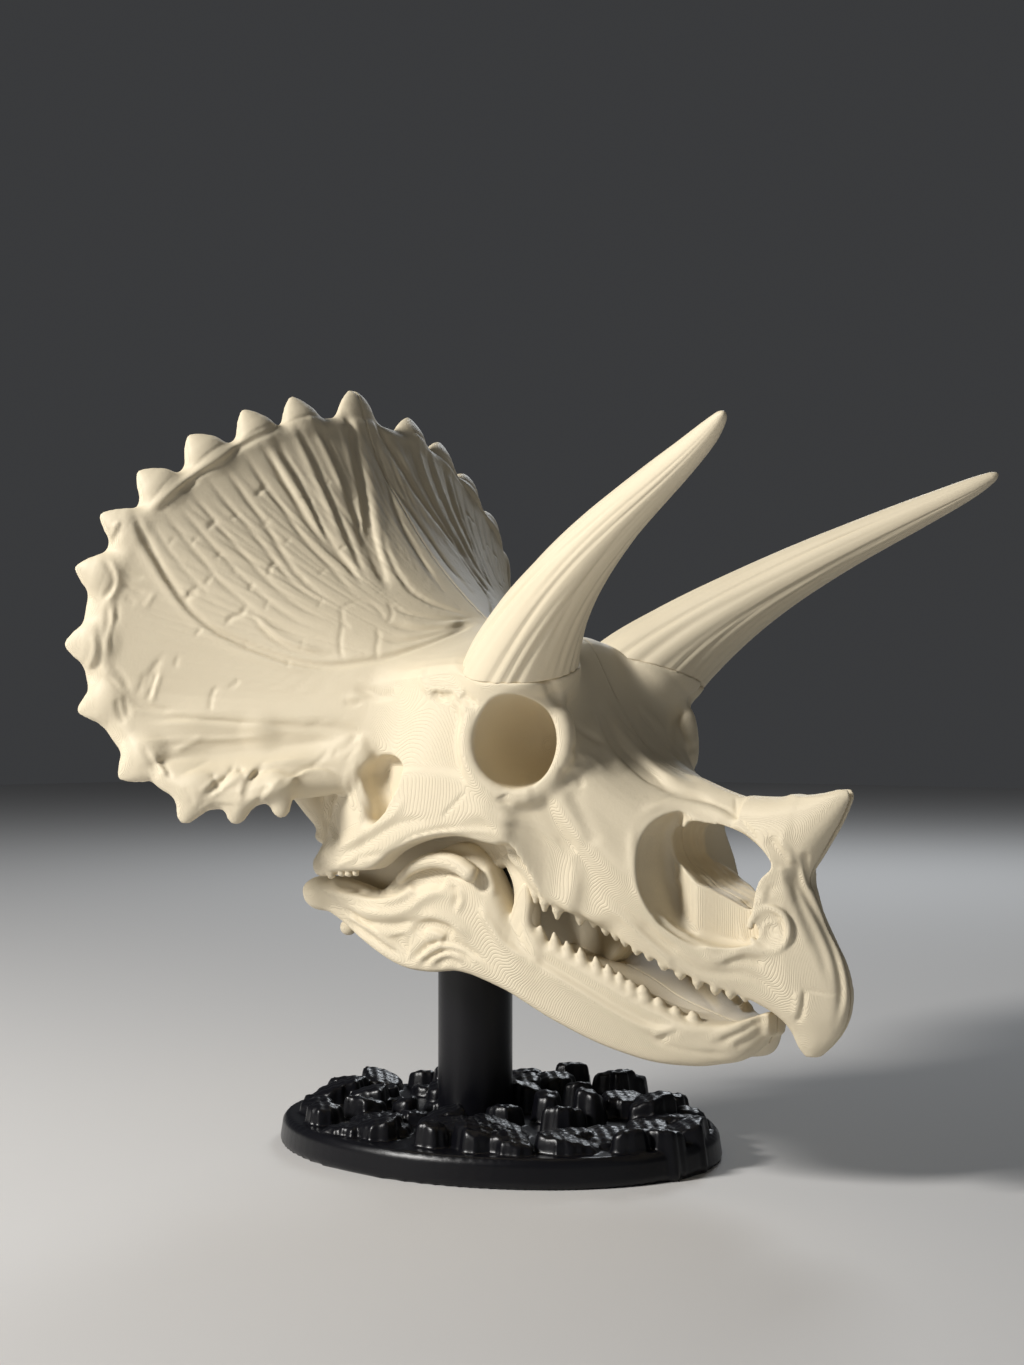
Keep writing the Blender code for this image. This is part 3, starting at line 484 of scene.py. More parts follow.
class Grid:
    """Block of points at even steps that knows how far each is from the solid."""

    MARGIN = 4.0  # how far past a shape's box its field is read
    BRUSH_BAND = 2.6  # how far from the surface strokes move the field
    BRUSH_REACH = 2.6  # how many widths a stroke reaches
    BRUSH_LIMITS = (-1.3, 1.6)  # the deepest and the highest that strokes may add up to
    SEAM_ROUNDING = 0.12
    SETTLINGS = 2  # how often the skin's corners are moved onto the surface
    LONGEST_MOVE = 0.3

    def __init__(self, low: Triple, high: Triple, step: float) -> None:
        """Make an empty block.

        Args:
            low: Lowest corner.
            high: Highest corner, which is moved out to a whole number of double steps.
            step: Distance between neighbouring points.
        """
        self.low, self.step = np.array(low, float), step
        halves = np.ceil((np.array(high, float) - self.low) / (2 * step)).astype(int)
        self.values = np.full(2 * halves + 1, FAR, np.float32)

    def window(self, low: Array, high: Array) -> tuple[slice, ...] | None:
        """Part of the block that covers a box, or nothing if they don't meet.

        Args:
            low: The box's lowest corner.
            high: Its highest corner.

        Returns:
            A slice along each axis, or None.
        """
        top = np.array(self.values.shape) - 1
        first = np.floor((low - self.low) / (2 * self.step)).astype(int) * 2
        last = np.ceil((high - self.low) / (2 * self.step)).astype(int) * 2
        if (first >= top).any() or (last <= 0).any():
            return None
        return tuple(slice(a, b + 1) for a, b in zip(np.maximum(first, 0), np.minimum(last, top)))

    def rows(self, window: tuple[slice, ...], stride: int) -> list[Array]:
        """Coordinates of a window's points along each axis."""
        return [low + self.step * np.arange(part.start, part.stop, stride) for low, part in zip(self.low, window)]

    def sample(self, shape: Shape, window: tuple[slice, ...]) -> Array:
        """Distances to a shape in a window; large smooth shapes are read at every second point.

        Args:
            shape: The shape.
            window: The part of the block.

        Returns:
            Distances at the window's points.
        """
        if shape.fine:
            return shape.distance(*self.rows(window, 1)).astype(np.float32)
        block = shape.distance(*self.rows(window, 2)).astype(np.float32)
        for axis in range(3):
            block = np.moveaxis(block, axis, 0)
            filled = np.empty((2 * len(block) - 1, *block.shape[1:]), np.float32)
            filled[::2] = block
            filled[1::2] = (block[:-1] + block[1:]) / 2
            block = np.moveaxis(filled, 0, axis)
        return block

    def add(self, shape: Shape, blend: float = 0.0) -> None:
        """Join a shape to the solid with a fillet.

        Args:
            shape: The shape.
            blend: Size of the fillet.
        """
        low, high = shape.box()
        window = self.window(low - blend - self.MARGIN, high + blend + self.MARGIN)
        if window is not None:
            self.values[window] = soft_min(self.values[window], self.sample(shape, window), blend)

    def cut(self, shape: Shape, blend: float = 0.0) -> None:
        """Hollow a shape out of the solid and round the edge.

        Args:
            shape: The shape.
            blend: Size of the rounded edge.
        """
        low, high = shape.box()
        window = self.window(low - blend - self.MARGIN, high + blend + self.MARGIN)
        if window is not None:
            self.values[window] = soft_max(self.values[window], -self.sample(shape, window), blend)

    def brush(self, marks: Sequence[Stroke]) -> None:
        """Raise and lower the surface along strokes.

        Args:
            marks: The strokes, in order.
        """
        near = np.flatnonzero(np.abs(self.values) < self.BRUSH_BAND)
        index = np.unravel_index(near, self.values.shape)
        places = np.stack([low + self.step * i for low, i in zip(self.low, index)], axis=1).astype(np.float32)
        moved = np.zeros(len(near), np.float32)
        for stroke in marks:
            line = np.array(stroke.points, float)
            reach = self.BRUSH_REACH * stroke.width
            low, high = line.min(axis=0) - reach, line.max(axis=0) + reach
            first, last = np.searchsorted(places[:, 0], (low[0], high[0]))
            part = places[first:last]
            inside = np.flatnonzero(((part[:, 1:] > low[1:]) & (part[:, 1:] < high[1:])).all(axis=1))
            if len(inside):
                moved[first + inside] += stroke.delta(part[inside])
        self.values.ravel()[near] -= np.clip(moved, *self.BRUSH_LIMITS)

    def halve(self, seam: Callable[[Array, Array], Array]) -> None:
        """End the solid just short of the midline, where its mirror image begins.

        Args:
            seam: How far short of the midline it ends, from the x and the z of a place.
        """
        x, s, z = (low + self.step * np.arange(size) for low, size in zip(self.low, self.values.shape))
        gap = seam(x[:, None], z[None])[:, None] - s[None, :, None]
        self.values = soft_max(self.values, gap.astype(np.float32), self.SEAM_ROUNDING)

    def read(self, places: Array) -> Array:
        """Distances at any points, between the block's own.

        Args:
            places: Points in millimetres.

        Returns:
            One distance for each.
        """
        at = (places - self.low) / self.step
        base = np.clip(np.floor(at).astype(int), 0, np.array(self.values.shape) - 2)
        t = at - base
        total = np.zeros(len(places))
        for corner in range(8):
            offset = np.array((corner & 1, corner >> 1 & 1, corner >> 2 & 1))
            weight = np.where(offset, t, 1 - t).prod(axis=1)
            total += weight * self.values[tuple((base + offset).T)]
        return total

    def slope(self, places: Array) -> Array:
        """Direction in which the distance grows fastest at each point, not yet of length 1.

        Args:
            places: Points in millimetres.

        Returns:
            One direction for each.
        """
        result = np.empty_like(places)
        for axis in range(3):
            shift = np.zeros(3)
            shift[axis] = self.step
            result[:, axis] = (self.read(places + shift) - self.read(places - shift)) / (2 * self.step)
        return result

    def skin(self) -> tuple[Array, Array]:
        """Surface of the solid.

        Returns:
            Corners in millimetres and four-sided faces that wind outwards.
        """
        inside = self.values < 0
        count = np.zeros([n - 1 for n in inside.shape], np.uint8)
        corners = [(i, j, k) for i in (0, 1) for j in (0, 1) for k in (0, 1)]
        for i, j, k in corners:
            count += inside[i:inside.shape[0] - 1 + i, j:inside.shape[1] - 1 + j, k:inside.shape[2] - 1 + k]
        cells = np.argwhere((count > 0) & (count < 8))
        number = np.full(count.shape, -1, np.int32)
        number[tuple(cells.T)] = np.arange(len(cells))
        levels = {c: self.values[tuple((cells + np.array(c)).T)] for c in corners}
        total, hits = np.zeros((len(cells), 3)), np.zeros(len(cells))
        for a in corners:
            for axis in range(3):
                if a[axis]:
                    continue
                b = tuple(1 if n == axis else v for n, v in enumerate(a))
                crosses = (levels[a] < 0) != (levels[b] < 0)
                t = levels[a] / np.where(crosses, levels[a] - levels[b], 1)
                point = np.tile(np.array(a, float), (len(cells), 1))
                point[:, axis] = t
                total += np.where(crosses[:, None], point, 0)
                hits += crosses
        verts = self.low + (cells + total / hits[:, None]) * self.step
        faces = []
        for axis in range(3):
            here = [slice(1, -1)] * 3
            ahead = list(here)
            here[axis], ahead[axis] = slice(0, -1), slice(1, None)
            start, end = inside[tuple(here)], inside[tuple(ahead)]
            edges = np.argwhere(start != end)
            outwards = start[tuple(edges.T)]
            for n in range(3):
                edges[:, n] += n != axis
            u, v = (axis + 1) % 3, (axis + 2) % 3
            ring = []
            for du, dv in ((-1, -1), (0, -1), (0, 0), (-1, 0)):
                cell = edges.copy()
                cell[:, u] += du
                cell[:, v] += dv
                ring.append(number[tuple(cell.T)])
            quad = np.stack(ring, axis=1)
            faces.append(np.where(outwards[:, None], quad, quad[:, ::-1]))
        for _ in range(self.SETTLINGS):
            way = self.slope(verts)
            move = self.read(verts) / np.maximum((way**2).sum(axis=1), 0.05)
            verts = verts - way * move[:, None].clip(-self.LONGEST_MOVE, self.LONGEST_MOVE)
        return verts, np.concatenate(faces)


def strokes(table: str) -> tuple[Stroke, ...]:
    """Read a table of strokes.

    Args:
        table: Groups parted by slashes. Each gives a width, a height and a taper, then after a colon its strokes,
            parted by commas. A stroke gives its first point as X, distance from the midline and Z, and then the step
            to each further point, in half millimetres.

    Returns:
        The strokes.
    """
    made = []
    for group in table.split("/"):
        sizes, lines = group.split(":")
        for line in lines.split(","):
            steps = np.reshape([float(step) for step in line.split()], (-1, 3))
            points = np.cumsum(steps, axis=0) / 2
            made.append(Stroke(points.tolist(), *(float(size) for size in sizes.split())))
    return tuple(made)


FRILL_STROKES = strokes("""
    1.7 -1.82 .1: -137 15 523 5 0 -11 13 8 -28 10 4 -18 31 19 -51 10 4 -14 15 5 -16 / 5.5 -1.4 .3: -126 18 500 12 6 -24
    14 7 -24 15 9 -23 15 7 -23 19 5 -21 / 3.5 1.26 .25: -124 12 500 14 6 -24 14 8 -24 16 10 -23 13 5 -19 14 2 -19 / 1.3
    -.7 .2: -129 5 514 7 -2 -18 9 -2 -18 22 7 -33 12 3 -16 13 1 -15 12 1 -14 16 1 -15 / 1.1 -.84 .25: -80 32 429 9 6 -13
    8 2 -12 10 1 -12 10 -1 -10 10 -7 -7 10 -12 -6 9 -11 -4 / 1.3 -1.12 .15: -127 46 504 6 -2 -15 9 -1 -17 8 2 -15 9 1
    -15 10 4 -18 10 4 -13 / 1.7 .84 .25: -129 27 511 17 4 -35 9 4 -17 20 12 -34 9 3 -16 / 1.2 -.98 .15: -131 68 506 4 -3
    -12 6 -3 -13 8 -1 -14 8 0 -15 21 1 -32 10 1 -15 10 2 -13 / 1.5 .7 .25: -128 56 507 5 -4 -13 7 -2 -14 16 -1 -28, -133
    72 504 23 -5 -42 29 0 -49 / 1.2 -1.05 .15: -132 88 495 5 -4 -14 7 -4 -14 9 -2 -16 18 -2 -28 19 -5 -24 12 -1 -12 /
    1.2 -.91 .2: -134 100 489 4 -5 -11 16 -7 -28 20 -6 -28 9 -4 -11 9 -6 -11 12 -1 -11 / 1.4 .63 .25: -132 95 491 6 -5
    -14 9 -4 -15 27 -10 -43 / 1.1 -.7 .2: -137 113 481 12 -9 -23 9 -5 -13 17 -7 -25 24 -10 -26 15 -4 -16, -139 131 470 5
    -7 -11 8 -5 -13 10 -5 -14 8 -3 -13 9 -2 -13 10 -3 -13 11 -6 -11 13 -8 -10 / 1 -.63 .2: -143 142 462 7 -5 -11 7 -6
    -11 10 -6 -13 19 -10 -27 12 -4 -13 11 -7 -10 16 -10 -10, -145 155 451 13 -11 -21 19 -12 -25 11 -6 -13 12 -6 -12 12
    -9 -11 19 -13 -9 / 1 -.56 .2: -146 165 443 5 -5 -10 7 -6 -11 29 -20 -37 12 -7 -12 14 -10 -12 19 -14 -8, -150 174 437
    6 -5 -11 16 -12 -24 9 -7 -14 11 -8 -12 13 -9 -13 17 -13 -11 18 -13 -7 / 1 -.7 .2: -101 138 365 7 -5 -10 9 -6 -9 12
    -7 -6 13 -10 -3 12 -10 -1 / 1.2 .63 .25: -101 137 368 10 -5 -11 9 -6 -8 11 -8 -6 13 -10 -4 / 1 -.42 .25: -152 183
    429 6 -6 -14 8 -7 -15 10 -8 -14 10 -8 -14 / 1.3 -1.19 .05: -159 191 434 4 -3 -13 4 -5 -12 6 -5 -14 8 -6 -15 8 -7 -14
    11 -10 -12 14 -11 -9 14 -11 -7 16 -11 -6 17 -13 -3 17 -14 2 15 -15 4 11 -17 7 6 -22 8 -1 -27 11 / 1.8 .56 .15: -158
    195 427 4 -4 -15 5 -6 -12 8 -7 -16 9 -8 -15 12 -10 -14 13 -11 -11 17 -12 -9 18 -14 -6 19 -14 -2 / 1 -.63 .15: -45 61
    374 8 -5 -7 9 -10 -3 9 -14 -2 6 -21 2, -37 70 359 7 -6 -3 9 -11 -2 8 -13 2 2 -25 6, -36 80 349 9 -8 -3 8 -11 1 7 -16
    5 1 -27 8 / 1.7 .49 .25: -37 64 364 11 -9 -5 10 -14 -1 2 -23 5, -32 73 352 12 -12 -2 7 -17 4 1 -24 7 / 1.8 .49 .25:
    -29 81 341 11 -13 1 8 -19 6 1 -23 9 / .7 -.56 .15: -62 90 371 6 5 -13 3 5 -14 5 2 -11, -31 86 333 -3 -2 9 -2 -4 7 -4
    -2 7, -37 70 359 -3 -7 8 -6 -2 7 / .7 -.42 .15: -62 91 369 3 -8 4 6 -10 1 7 -3 -6 7 0 -8 / .8 -.7 .15: -124 113 449
    0 -9 8, -131 150 424 0 -7 6 / .7 -.56 .15: -124 158 385 2 -4 5, -132 167 375 2 -2 5 3 -4 3 / .8 -.7 .15: -111 150
    358 1 -3 4 5 -5 3 2 -3 5 / .7 -.56 .15: -99 123 391 -2 -3 6 1 -5 5, -104 136 381 0 -3 5 / .6 -.42 .15: -110 85 448 0
    -8 3 / .7 -.56 .15: -110 60 462 1 -4 2, -111 79 451 4 -3 -4, -83 72 412 1 -5 3 / .6 -.42 .15: -126 135 431 1 -8 4,
    -102 107 414 1 -6 5, -81 94 393 1 -7 4, -135 162 412 2 -5 6, -114 116 427 1 -7 6, -100 43 451 0 -5 3 / .6 -.49 .15:
    -101 142 346 2 0 -5, -78 124 334 2 2 -5 / .7 -.49 .15: -56 93 360 4 0 -5 / .6 -.42 .15: -88 104 393 4 -1 -6, -114
    142 395 2 -1 -3, -143 174 412 2 -4 5, -123 150 402 0 -5 5, -72 116 347 0 2 -7, -72 98 376 1 5 -6, -94 127 375 0 4 -7
    / 1.1 -.77 .1: -139 78 505 5 15 -8 -3 11 -6 -3 12 -8 1 14 -11 -5 12 -7 -3 13 -10 0 13 -11 -4 9 -10 / 1 -.7 .2: -146
    160 449 0 -7 5 1 -5 4 / 1.7 .7 .15: -136 97 500 -4 11 -7 0 17 -12 -1 13 -9 -5 12 -9 0 14 -10 -3 10 -9 -5 7 -7 -2 7
    -5 / 1.4 .56 .3: -130 53 513 1 5 -3 / 1 -.7 .2: -168 209 401 4 -3 -8 1 -2 -7 -2 2 -6 -5 3 -6 / 1.1 .56 .2: -167 206
    403 6 -2 -10 0 -1 -8 -2 2 -8 -5 3 -6 / 1 -.63 .2: -162 199 429 0 1 -8 -5 2 -8 -3 4 -7 / .9 .56 .2: -162 200 427 -4 4
    -5 / .9 -.56 .2: -162 200 422 -6 2 -8 / 1.2 .7 .2: -171 216 352 2 -1 -10 -3 0 -9 -8 -1 -6 / 1 -.56 .2: -170 212 359
    3 0 -12 -2 -1 -14 -6 0 -9 / 1 .56 .2: -164 205 370 1 -1 -10 0 4 -13 -2 0 -11 / .9 -.49 .2: -167 207 370 1 0 -11 0 4
    -12 / .9 -.56 .2: -162 202 375 0 0 -11 -1 4 -14 0 0 -13 / 1 -.77 .2: -159 204 308 1 -1 -10 4 -2 -8 / 1 -.7 .2: -167
    209 325 5 -5 -7 5 -3 -8 2 -2 -10 2 0 -8 / 1.1 .63 .2: -170 210 328 7 -5 -7 5 -3 -8 2 -2 -9 / 1 -.49 .2: -164 206 331
    5 -6 -8 4 -3 -10 / 1 -.7 .2: -140 198 276 12 -5 -20 / 1 -.63 .2: -131 191 269 3 -3 -7 8 1 -9 / 1.2 .56 .2: -135 195
    273 5 -3 -9 7 -1 -9 / 1 -.84 .2: -99 179 242 3 -5 5 2 -9 7 1 -5 5 -2 -2 6 / 1.1 .56 .2: -101 181 245 3 -6 6 2 -10 6
    / 1.3 -1.12 .2: -78 163 240 1 -2 9 -1 -6 6 -2 -8 5 3 -4 5 / 1.4 .84 .2: -81 164 238 3 0 10 -1 -6 8 -3 -9 6 / 1 -.63
    .2: -74 155 238 6 0 7 3 -2 6 / 1.1 .56 .2: -72 153 239 8 0 7 4 -2 6 1 -6 4 / 1.1 .7 .2: -57 146 250 2 -6 5 2 -10 4 7
    -8 0 7 -7 -4 / .9 -.63 .2: -57 141 256 0 -12 4 9 -8 2 9 -6 -3 / .9 -.56 .2: -54 127 261 5 -6 6 4 -4 8, -98 176 236 6
    -6 1 10 -6 -2 / 1 -.42 .2: -110 186 249 3 -2 -6 1 -1 -7 / .8 -.7 .2: -143 183 327 -2 2 -10 -1 4 -11 / .9 .49 .2:
    -141 182 325 -3 5 -20 / .8 -.49 .2: -148 189 325 -2 2 -8 -1 2 -7 / .7 -.49 .2: -133 174 336 -1 1 -8 / .7 -.56 .2:
    -114 161 298 -1 -1 8 1 -2 7 2 -2 3 / .7 -.42 .2: -102 147 321 -1 2 -4 -4 3 -2 / 1.3 -.35 .2: -156 201 296 17 -17 -1
    20 -18 -2 22 -18 -1 / .9 -.35 .2: -154 197 303 19 -18 -3 18 -16 -2 / 1.1 .49 .2: -127 181 272 12 -15 10 / .9 -.42
    .2: -116 185 257 5 -12 6 5 -10 7, -134 169 374 5 -4 3 2 -3 3 / .8 .42 .2: -150 188 369 4 -5 10 / .8 -.42 .2: -160
    201 394 4 -7 -4 5 -6 -1, -160 201 386 4 -8 -5 6 -5 -3, -159 198 376 5 -5 -4 / .7 -.49 .2: -125 165 350 2 -3 5 / .9
    -.49 .2: -35 112 266 7 -6 12 / .8 -.42 .2: -42 116 269 2 -2 5 / .7 -.49 .2: -42 107 305 5 -3 -2 6 -4 2 / 1 .42 .2:
    -42 106 308 9 -5 1 20 -9 4 / 1.8 -.7 .2: -65 125 290 17 -12 -2 16 -8 -5 -2 4 -7 -10 8 -4 / 5 1.1 .25: -145 191 292
    28 -28 3 32 -24 0 33 -24 -5 20 -11 -6 / 6 -1.5 .25: -125 182 266 23 -24 6 31 -25 3 26 -17 1 15 -8 -2 / 3.2 1 .25:
    -119 189 252 45 -46 10 27 -23 4 / 2.8 -1 .25: -108 184 238 24 -16 10 20 -17 7 7 -22 6 / 2.2 .9 .25: -87 166 230 15
    -10 12 16 -12 10 / 1.2 -.8 .25: -150 197 292 18 -20 2 24 -21 -2 61 -43 -5 / 1.1 -.8 .25: -109 182 229 11 -4 10 18
    -12 4 16 -13 5 8 -10 5 / 1 -.7 .25: -92 172 246 -10 -2 12, -77 160 250 -15 -4 13 / 1.2 .8 .25: -105 180 233 17 -11
    17 7 -21 10 27 -23 8 / 1.3 -.8 .25: -140 200 260 15 -18 8 18 -20 5 25 -20 4 / 1 .7 .25: -145 201 277 16 -22 3 23 -21
    0 26 -19 2 / 1 -.6 .25: -155 198 308 10 -10 -7 13 -11 -3, -148 190 312 3 -4 14 5 -5 10 / 1.6 -.9 .25: -39 102 315 17
    -7 -5 21 -3 1 / 1.2 -.8 .25: 24 95 313 10 -2 -6 16 3 4 / 1.4 .9 .25: 18 94 318 12 0 -5 15 1 1
""")

HEAD_STROKES = strokes("""
    2.5 -.84 .2: 84 90 246 0 -2 -3 0 1 -4 / 2.8 -.84 .2: 121 68 265 -5 2 -6 -5 5 -5 -6 3 -5 -7 6 -2 / 2.5 -.7 .2: 118 66
    251 4 -2 -9 12 -1 -21 6 0 -9 / 2.2 -.52 .2: 107 76 245 1 -5 -10 4 -3 -10 5 -2 -8 8 -1 -9 / 2.8 .35 .2: 113 72 248 13
    -3 -23 6 -3 -12 / 2.2 .28 .2: 101 81 242 1 -6 -10 5 -4 -9 7 -2 -9 / 1.7 -1.12 .2: 118 84 318 -6 -12 -9 4 -2 -9 / 1.5
    -.75 .2: 117 88 320 -5 -10 -9 1 -7 -7 / 1.7 -1.12 .2: 116 69 301 -5 -15 -10 4 -8 -7 5 -6 -4 6 -3 -5 / 2.7 -2.25 .2:
    106 19 304 5 3 -10 7 3 -10 8 1 -11 9 -2 -8 11 -2 -9 13 1 -7 / 2.3 1 .2: 108 28 300 8 6 -11 7 2 -10 8 0 -10 10 -2 -9
    / 1.9 -1.12 .2: 133 24 267 15 -3 -12 19 -1 -8 15 -6 -4 11 -2 -3 / 2.5 -1.62 .2: 98 12 319 7 -5 -13 10 -3 -13 10 -4
    -12 10 4 -9 17 -2 -10 25 5 -10 / 1.7 .88 .2: 113 15 295 11 1 -11 12 -1 -12 17 1 -11 17 -2 -9 / 1.6 -.62 .2: 123 67
    277 -3 -8 -8 2 1 -7 / 1.4 .5 .2: 122 65 271 2 -12 -1 5 -4 -5 5 -1 -6 / 1.3 -.62 .2: 120 64 262 3 -3 -7 2 0 -6 / 1.7
    -.88 .2: 31 94 313 2 -1 -4 6 1 -1 / 1.5 .75 .2: 40 95 313 9 1 -3 8 1 -6 4 1 -8 / 1.7 -1 .2: 55 96 310 7 0 -5 8 1 -2
    / 1.3 .5 .2: 15 89 327 2 5 -8 8 1 -8 6 -1 -4 / 1.4 .5 .2: 45 94 306 7 1 -6 4 2 -6 / 1.3 .56 .2: 83 91 231 9 -9 -2 9
    -7 -5 8 -4 -7 10 -2 -8 / 1.3 -.38 .2: 82 92 226 8 -10 -2 9 -8 -5 8 -4 -7 / 1.6 .62 .2: -50 108 206 18 1 7 20 -2 10
    17 -2 10 6 -2 9 / 1.4 -.56 .2: -46 108 202 19 -1 7 40 -5 18 18 -2 1 / .9 .62 .2: -2 103 206 17 -1 9 20 -2 5 20 -4 2
    21 -4 -1 13 -8 -4 / .8 -.62 .2: 0 103 209 16 -2 8 19 -2 5 20 -3 2 / .7 -.44 .2: 40 99 230 19 -3 17 / 1.3 .5 .2: -32
    110 264 -2 1 -11 -2 -4 -11 5 -1 -10 / 1.1 .62 .2: -29 108 269 -1 1 -11 -1 -2 -10 5 -1 -12 4 -2 -10 / 1.3 -.5 .2: -48
    106 239 -3 -1 -10 2 0 -11 7 4 -9 / 1.1 -.62 .2: -44 113 244 -23 -19 -5 -2 1 -4 / 1.1 .44 .2: -68 95 239 -1 0 -10 14
    12 -11 5 1 -9 / 1.1 -.5 .2: -33 108 199 27 -4 7 / .9 .5 .2: -49 107 195 16 1 5 17 -2 0 / .7 -.5 .2: 202 4 244 7 9
    -11 / .8 -.5 .2: 161 34 241 5 -8 3 10 -10 0 15 -3 -4 16 0 -6 16 5 -10 11 0 -12 / 1.7 .75 .2: 157 43 232 5 -6 6 9 -9
    2 12 -7 0 13 -4 -4 15 0 -8 / 1.7 .62 .2: 155 47 227 3 5 -15 4 2 -16 4 0 -12 5 -5 -11 / 1.3 -.88 .2: 171 48 173 7 -6
    -9 12 -4 -7 13 -3 -4 / 1.1 .62 .2: 171 42 173 10 -4 -9 9 -6 -6 / 1.1 -.62 .2: 172 36 172 7 -7 -8 11 -4 -6 / 1.6 .75
    .2: 198 37 151 9 -3 -5 9 -4 3 8 -2 4 9 -2 -1 6 -2 -3 / 1.5 -.75 .2: 210 31 143 9 -4 4 8 -3 0 9 -1 -2 / 1.7 .75 .2:
    136 56 182 16 -1 -12 14 -5 -13 12 -7 -13 -28 -22 -21 / 1.5 -.75 .2: 152 55 178 14 -7 -15 16 -7 -13 14 -6 -10 13 -6
    -2 12 -4 1 13 -4 -6 13 -3 -11 / 1.4 -.62 .2: 163 51 169 10 -6 -11 13 -4 -8 / 1.2 -1 .2: 257 11 214 -4 -7 -14 3 -3
    -13 / 1.4 -1.12 .2: 254 11 210 -4 -3 -12 5 -2 -12 7 -3 -14 8 0 -15 6 1 -15 2 1 -16 -3 1 -15 / 1.3 .88 .2: 256 12 213
    -3 -5 -14 10 -6 -27 8 0 -15 7 2 -15 2 1 -16 -4 1 -16 / 1.5 -.62 .2: 248 12 205 0 -2 -12 5 0 -13 8 0 -14 7 0 -15 5 0
    -16 / 1.6 .5 .2: 245 15 196 4 0 -13 12 -1 -29 / .9 -.75 .2: 259 16 133 -1 -1 -8 -2 0 -9 -5 -2 -6 / .6 -.5 .2: 259 16
    132 9 -4 -2 9 -6 -1 / 1.3 .5 .2: 256 18 131 -1 0 -8 -4 -3 -10 / 1.1 .62 .2: 211 13 169 6 2 -14 / 1.5 -.62 .2: 204 3
    180 7 -3 -4 6 13 -5 / 1.4 .62 .2: 234 22 188 -1 2 -7 / 1.2 -.62 .2: 239 19 193 -2 2 -7 / 1.9 -.75 .2: 235 18 222 6
    -2 -10 3 0 -11 / 1.4 .5 .2: 242 18 221 6 -2 -8 0 -4 -9 / 1.1 -.62 .2: 165 1 202 6 5 -5 13 -1 -8 / 1.3 .62 .2: 164 23
    195 13 -5 -5 16 -1 -7 10 -2 -3 / 1.1 -.62 .2: 163 26 191 9 -9 -6 12 0 -5 / 1.1 .62 .2: 195 16 186 -1 1 -6 -6 0 -7 /
    .9 -.5 .2: 208 14 178 2 -1 -6 -1 1 -8
""")

JAW_STROKES = strokes("""
    1.6 -1.12 .2: -72 86 181 11 -2 -2 14 -2 -3 16 -1 -1 16 2 4 11 -3 6 / 1.6 .88 .2: -77 90 177 19 -1 -3 17 -2 -2 21 0 1
    15 -2 5 8 -5 7 / 1.6 -1.25 .2: -67 88 169 9 -3 -6 12 -1 -5 18 0 -2 16 -2 1 24 0 9 / 1.7 1 .2: -53 88 167 20 1 -3 17
    -2 0 15 -2 5 11 -1 7 12 -3 4 9 -2 -1 / 1.4 .88 .2: -64 86 162 35 -1 -14 15 -4 -9 / 1.3 -1 .2: -63 85 158 50 -4 -23 /
    1.2 -.75 .2: -56 85 163 16 -1 -9 35 -3 -15 / 3.4 -1.88 .2: -5 83 182 7 -4 5 12 -1 3 13 1 -2 / 1.3 -.88 .2: -15 83
    180 20 -5 12 13 -1 2 15 0 -2 17 7 -2 / 2.5 -1.75 .2: -3 82 151 5 -3 5 10 -1 3 11 -2 -3 9 0 -5 / 2.1 1 .2: -9 83 154
    10 -1 7 15 0 3 12 -2 -2 10 -2 -6 8 -3 -6 / 3.2 1 .2: 7 80 149 11 0 2 5 -4 -3 / 1.4 -1.12 .2: -9 81 132 9 -2 5 11 -1
    8 12 -1 3 11 -2 -2 23 -3 -12 / 1.3 .88 .2: -4 80 131 12 0 7 13 -1 6 11 -3 0 12 -2 -5 12 -2 -7 / 1.3 -1 .2: 2 79 130
    11 -1 8 11 -1 4 11 -2 -1 12 -1 -6 / 1.2 .75 .2: 9 79 131 11 0 7 9 -2 2 10 -2 -4 / 1.2 -.75 .2: 15 78 131 10 -2 5 11
    -1 -3 / 3.7 -1.12 .2: -15 83 151 2 -3 -7 8 1 -3 / 1.7 1 .2: 57 75 175 -1 1 -7 6 -1 -9 7 -1 -8 9 -3 -7 10 -3 -5 / 1.5
    1 .2: 52 71 198 5 0 -6 3 0 -8 -1 2 -5 / 1.4 -.75 .2: 54 81 195 -2 -8 -7 3 1 -8 / 1.1 -.75 .2: 31 79 186 3 -1 -8 -3 1
    -8 / .9 .62 .2: 36 79 185 4 0 -8 -5 -1 -9 / 1.7 .75 .2: 88 68 139 31 -7 -15 33 -10 -17 13 -5 -5 17 -7 -2 16 -7 1 /
    1.7 -.88 .2: 80 68 147 17 -4 -7 19 -4 -9 36 -11 -19 13 -5 -6 17 -4 -1 / 1.3 -.75 .2: 169 43 94 8 -2 5 7 -2 2 / 1.3
    .5 .2: 167 44 97 8 -1 4 8 -4 2 / 1.4 -.88 .2: 205 28 95 10 -6 6 8 -8 6 6 -5 6 / 1.3 -.75 .2: 213 24 93 8 -7 5 6 -6 7
    / 1.3 .62 .2: 209 26 95 10 -6 6 7 -8 5, 198 32 97 13 -6 5 9 -8 5 / 1.1 -.5 .2: 160 47 101 16 -7 -9 19 -8 -3 16 -8 0
""")


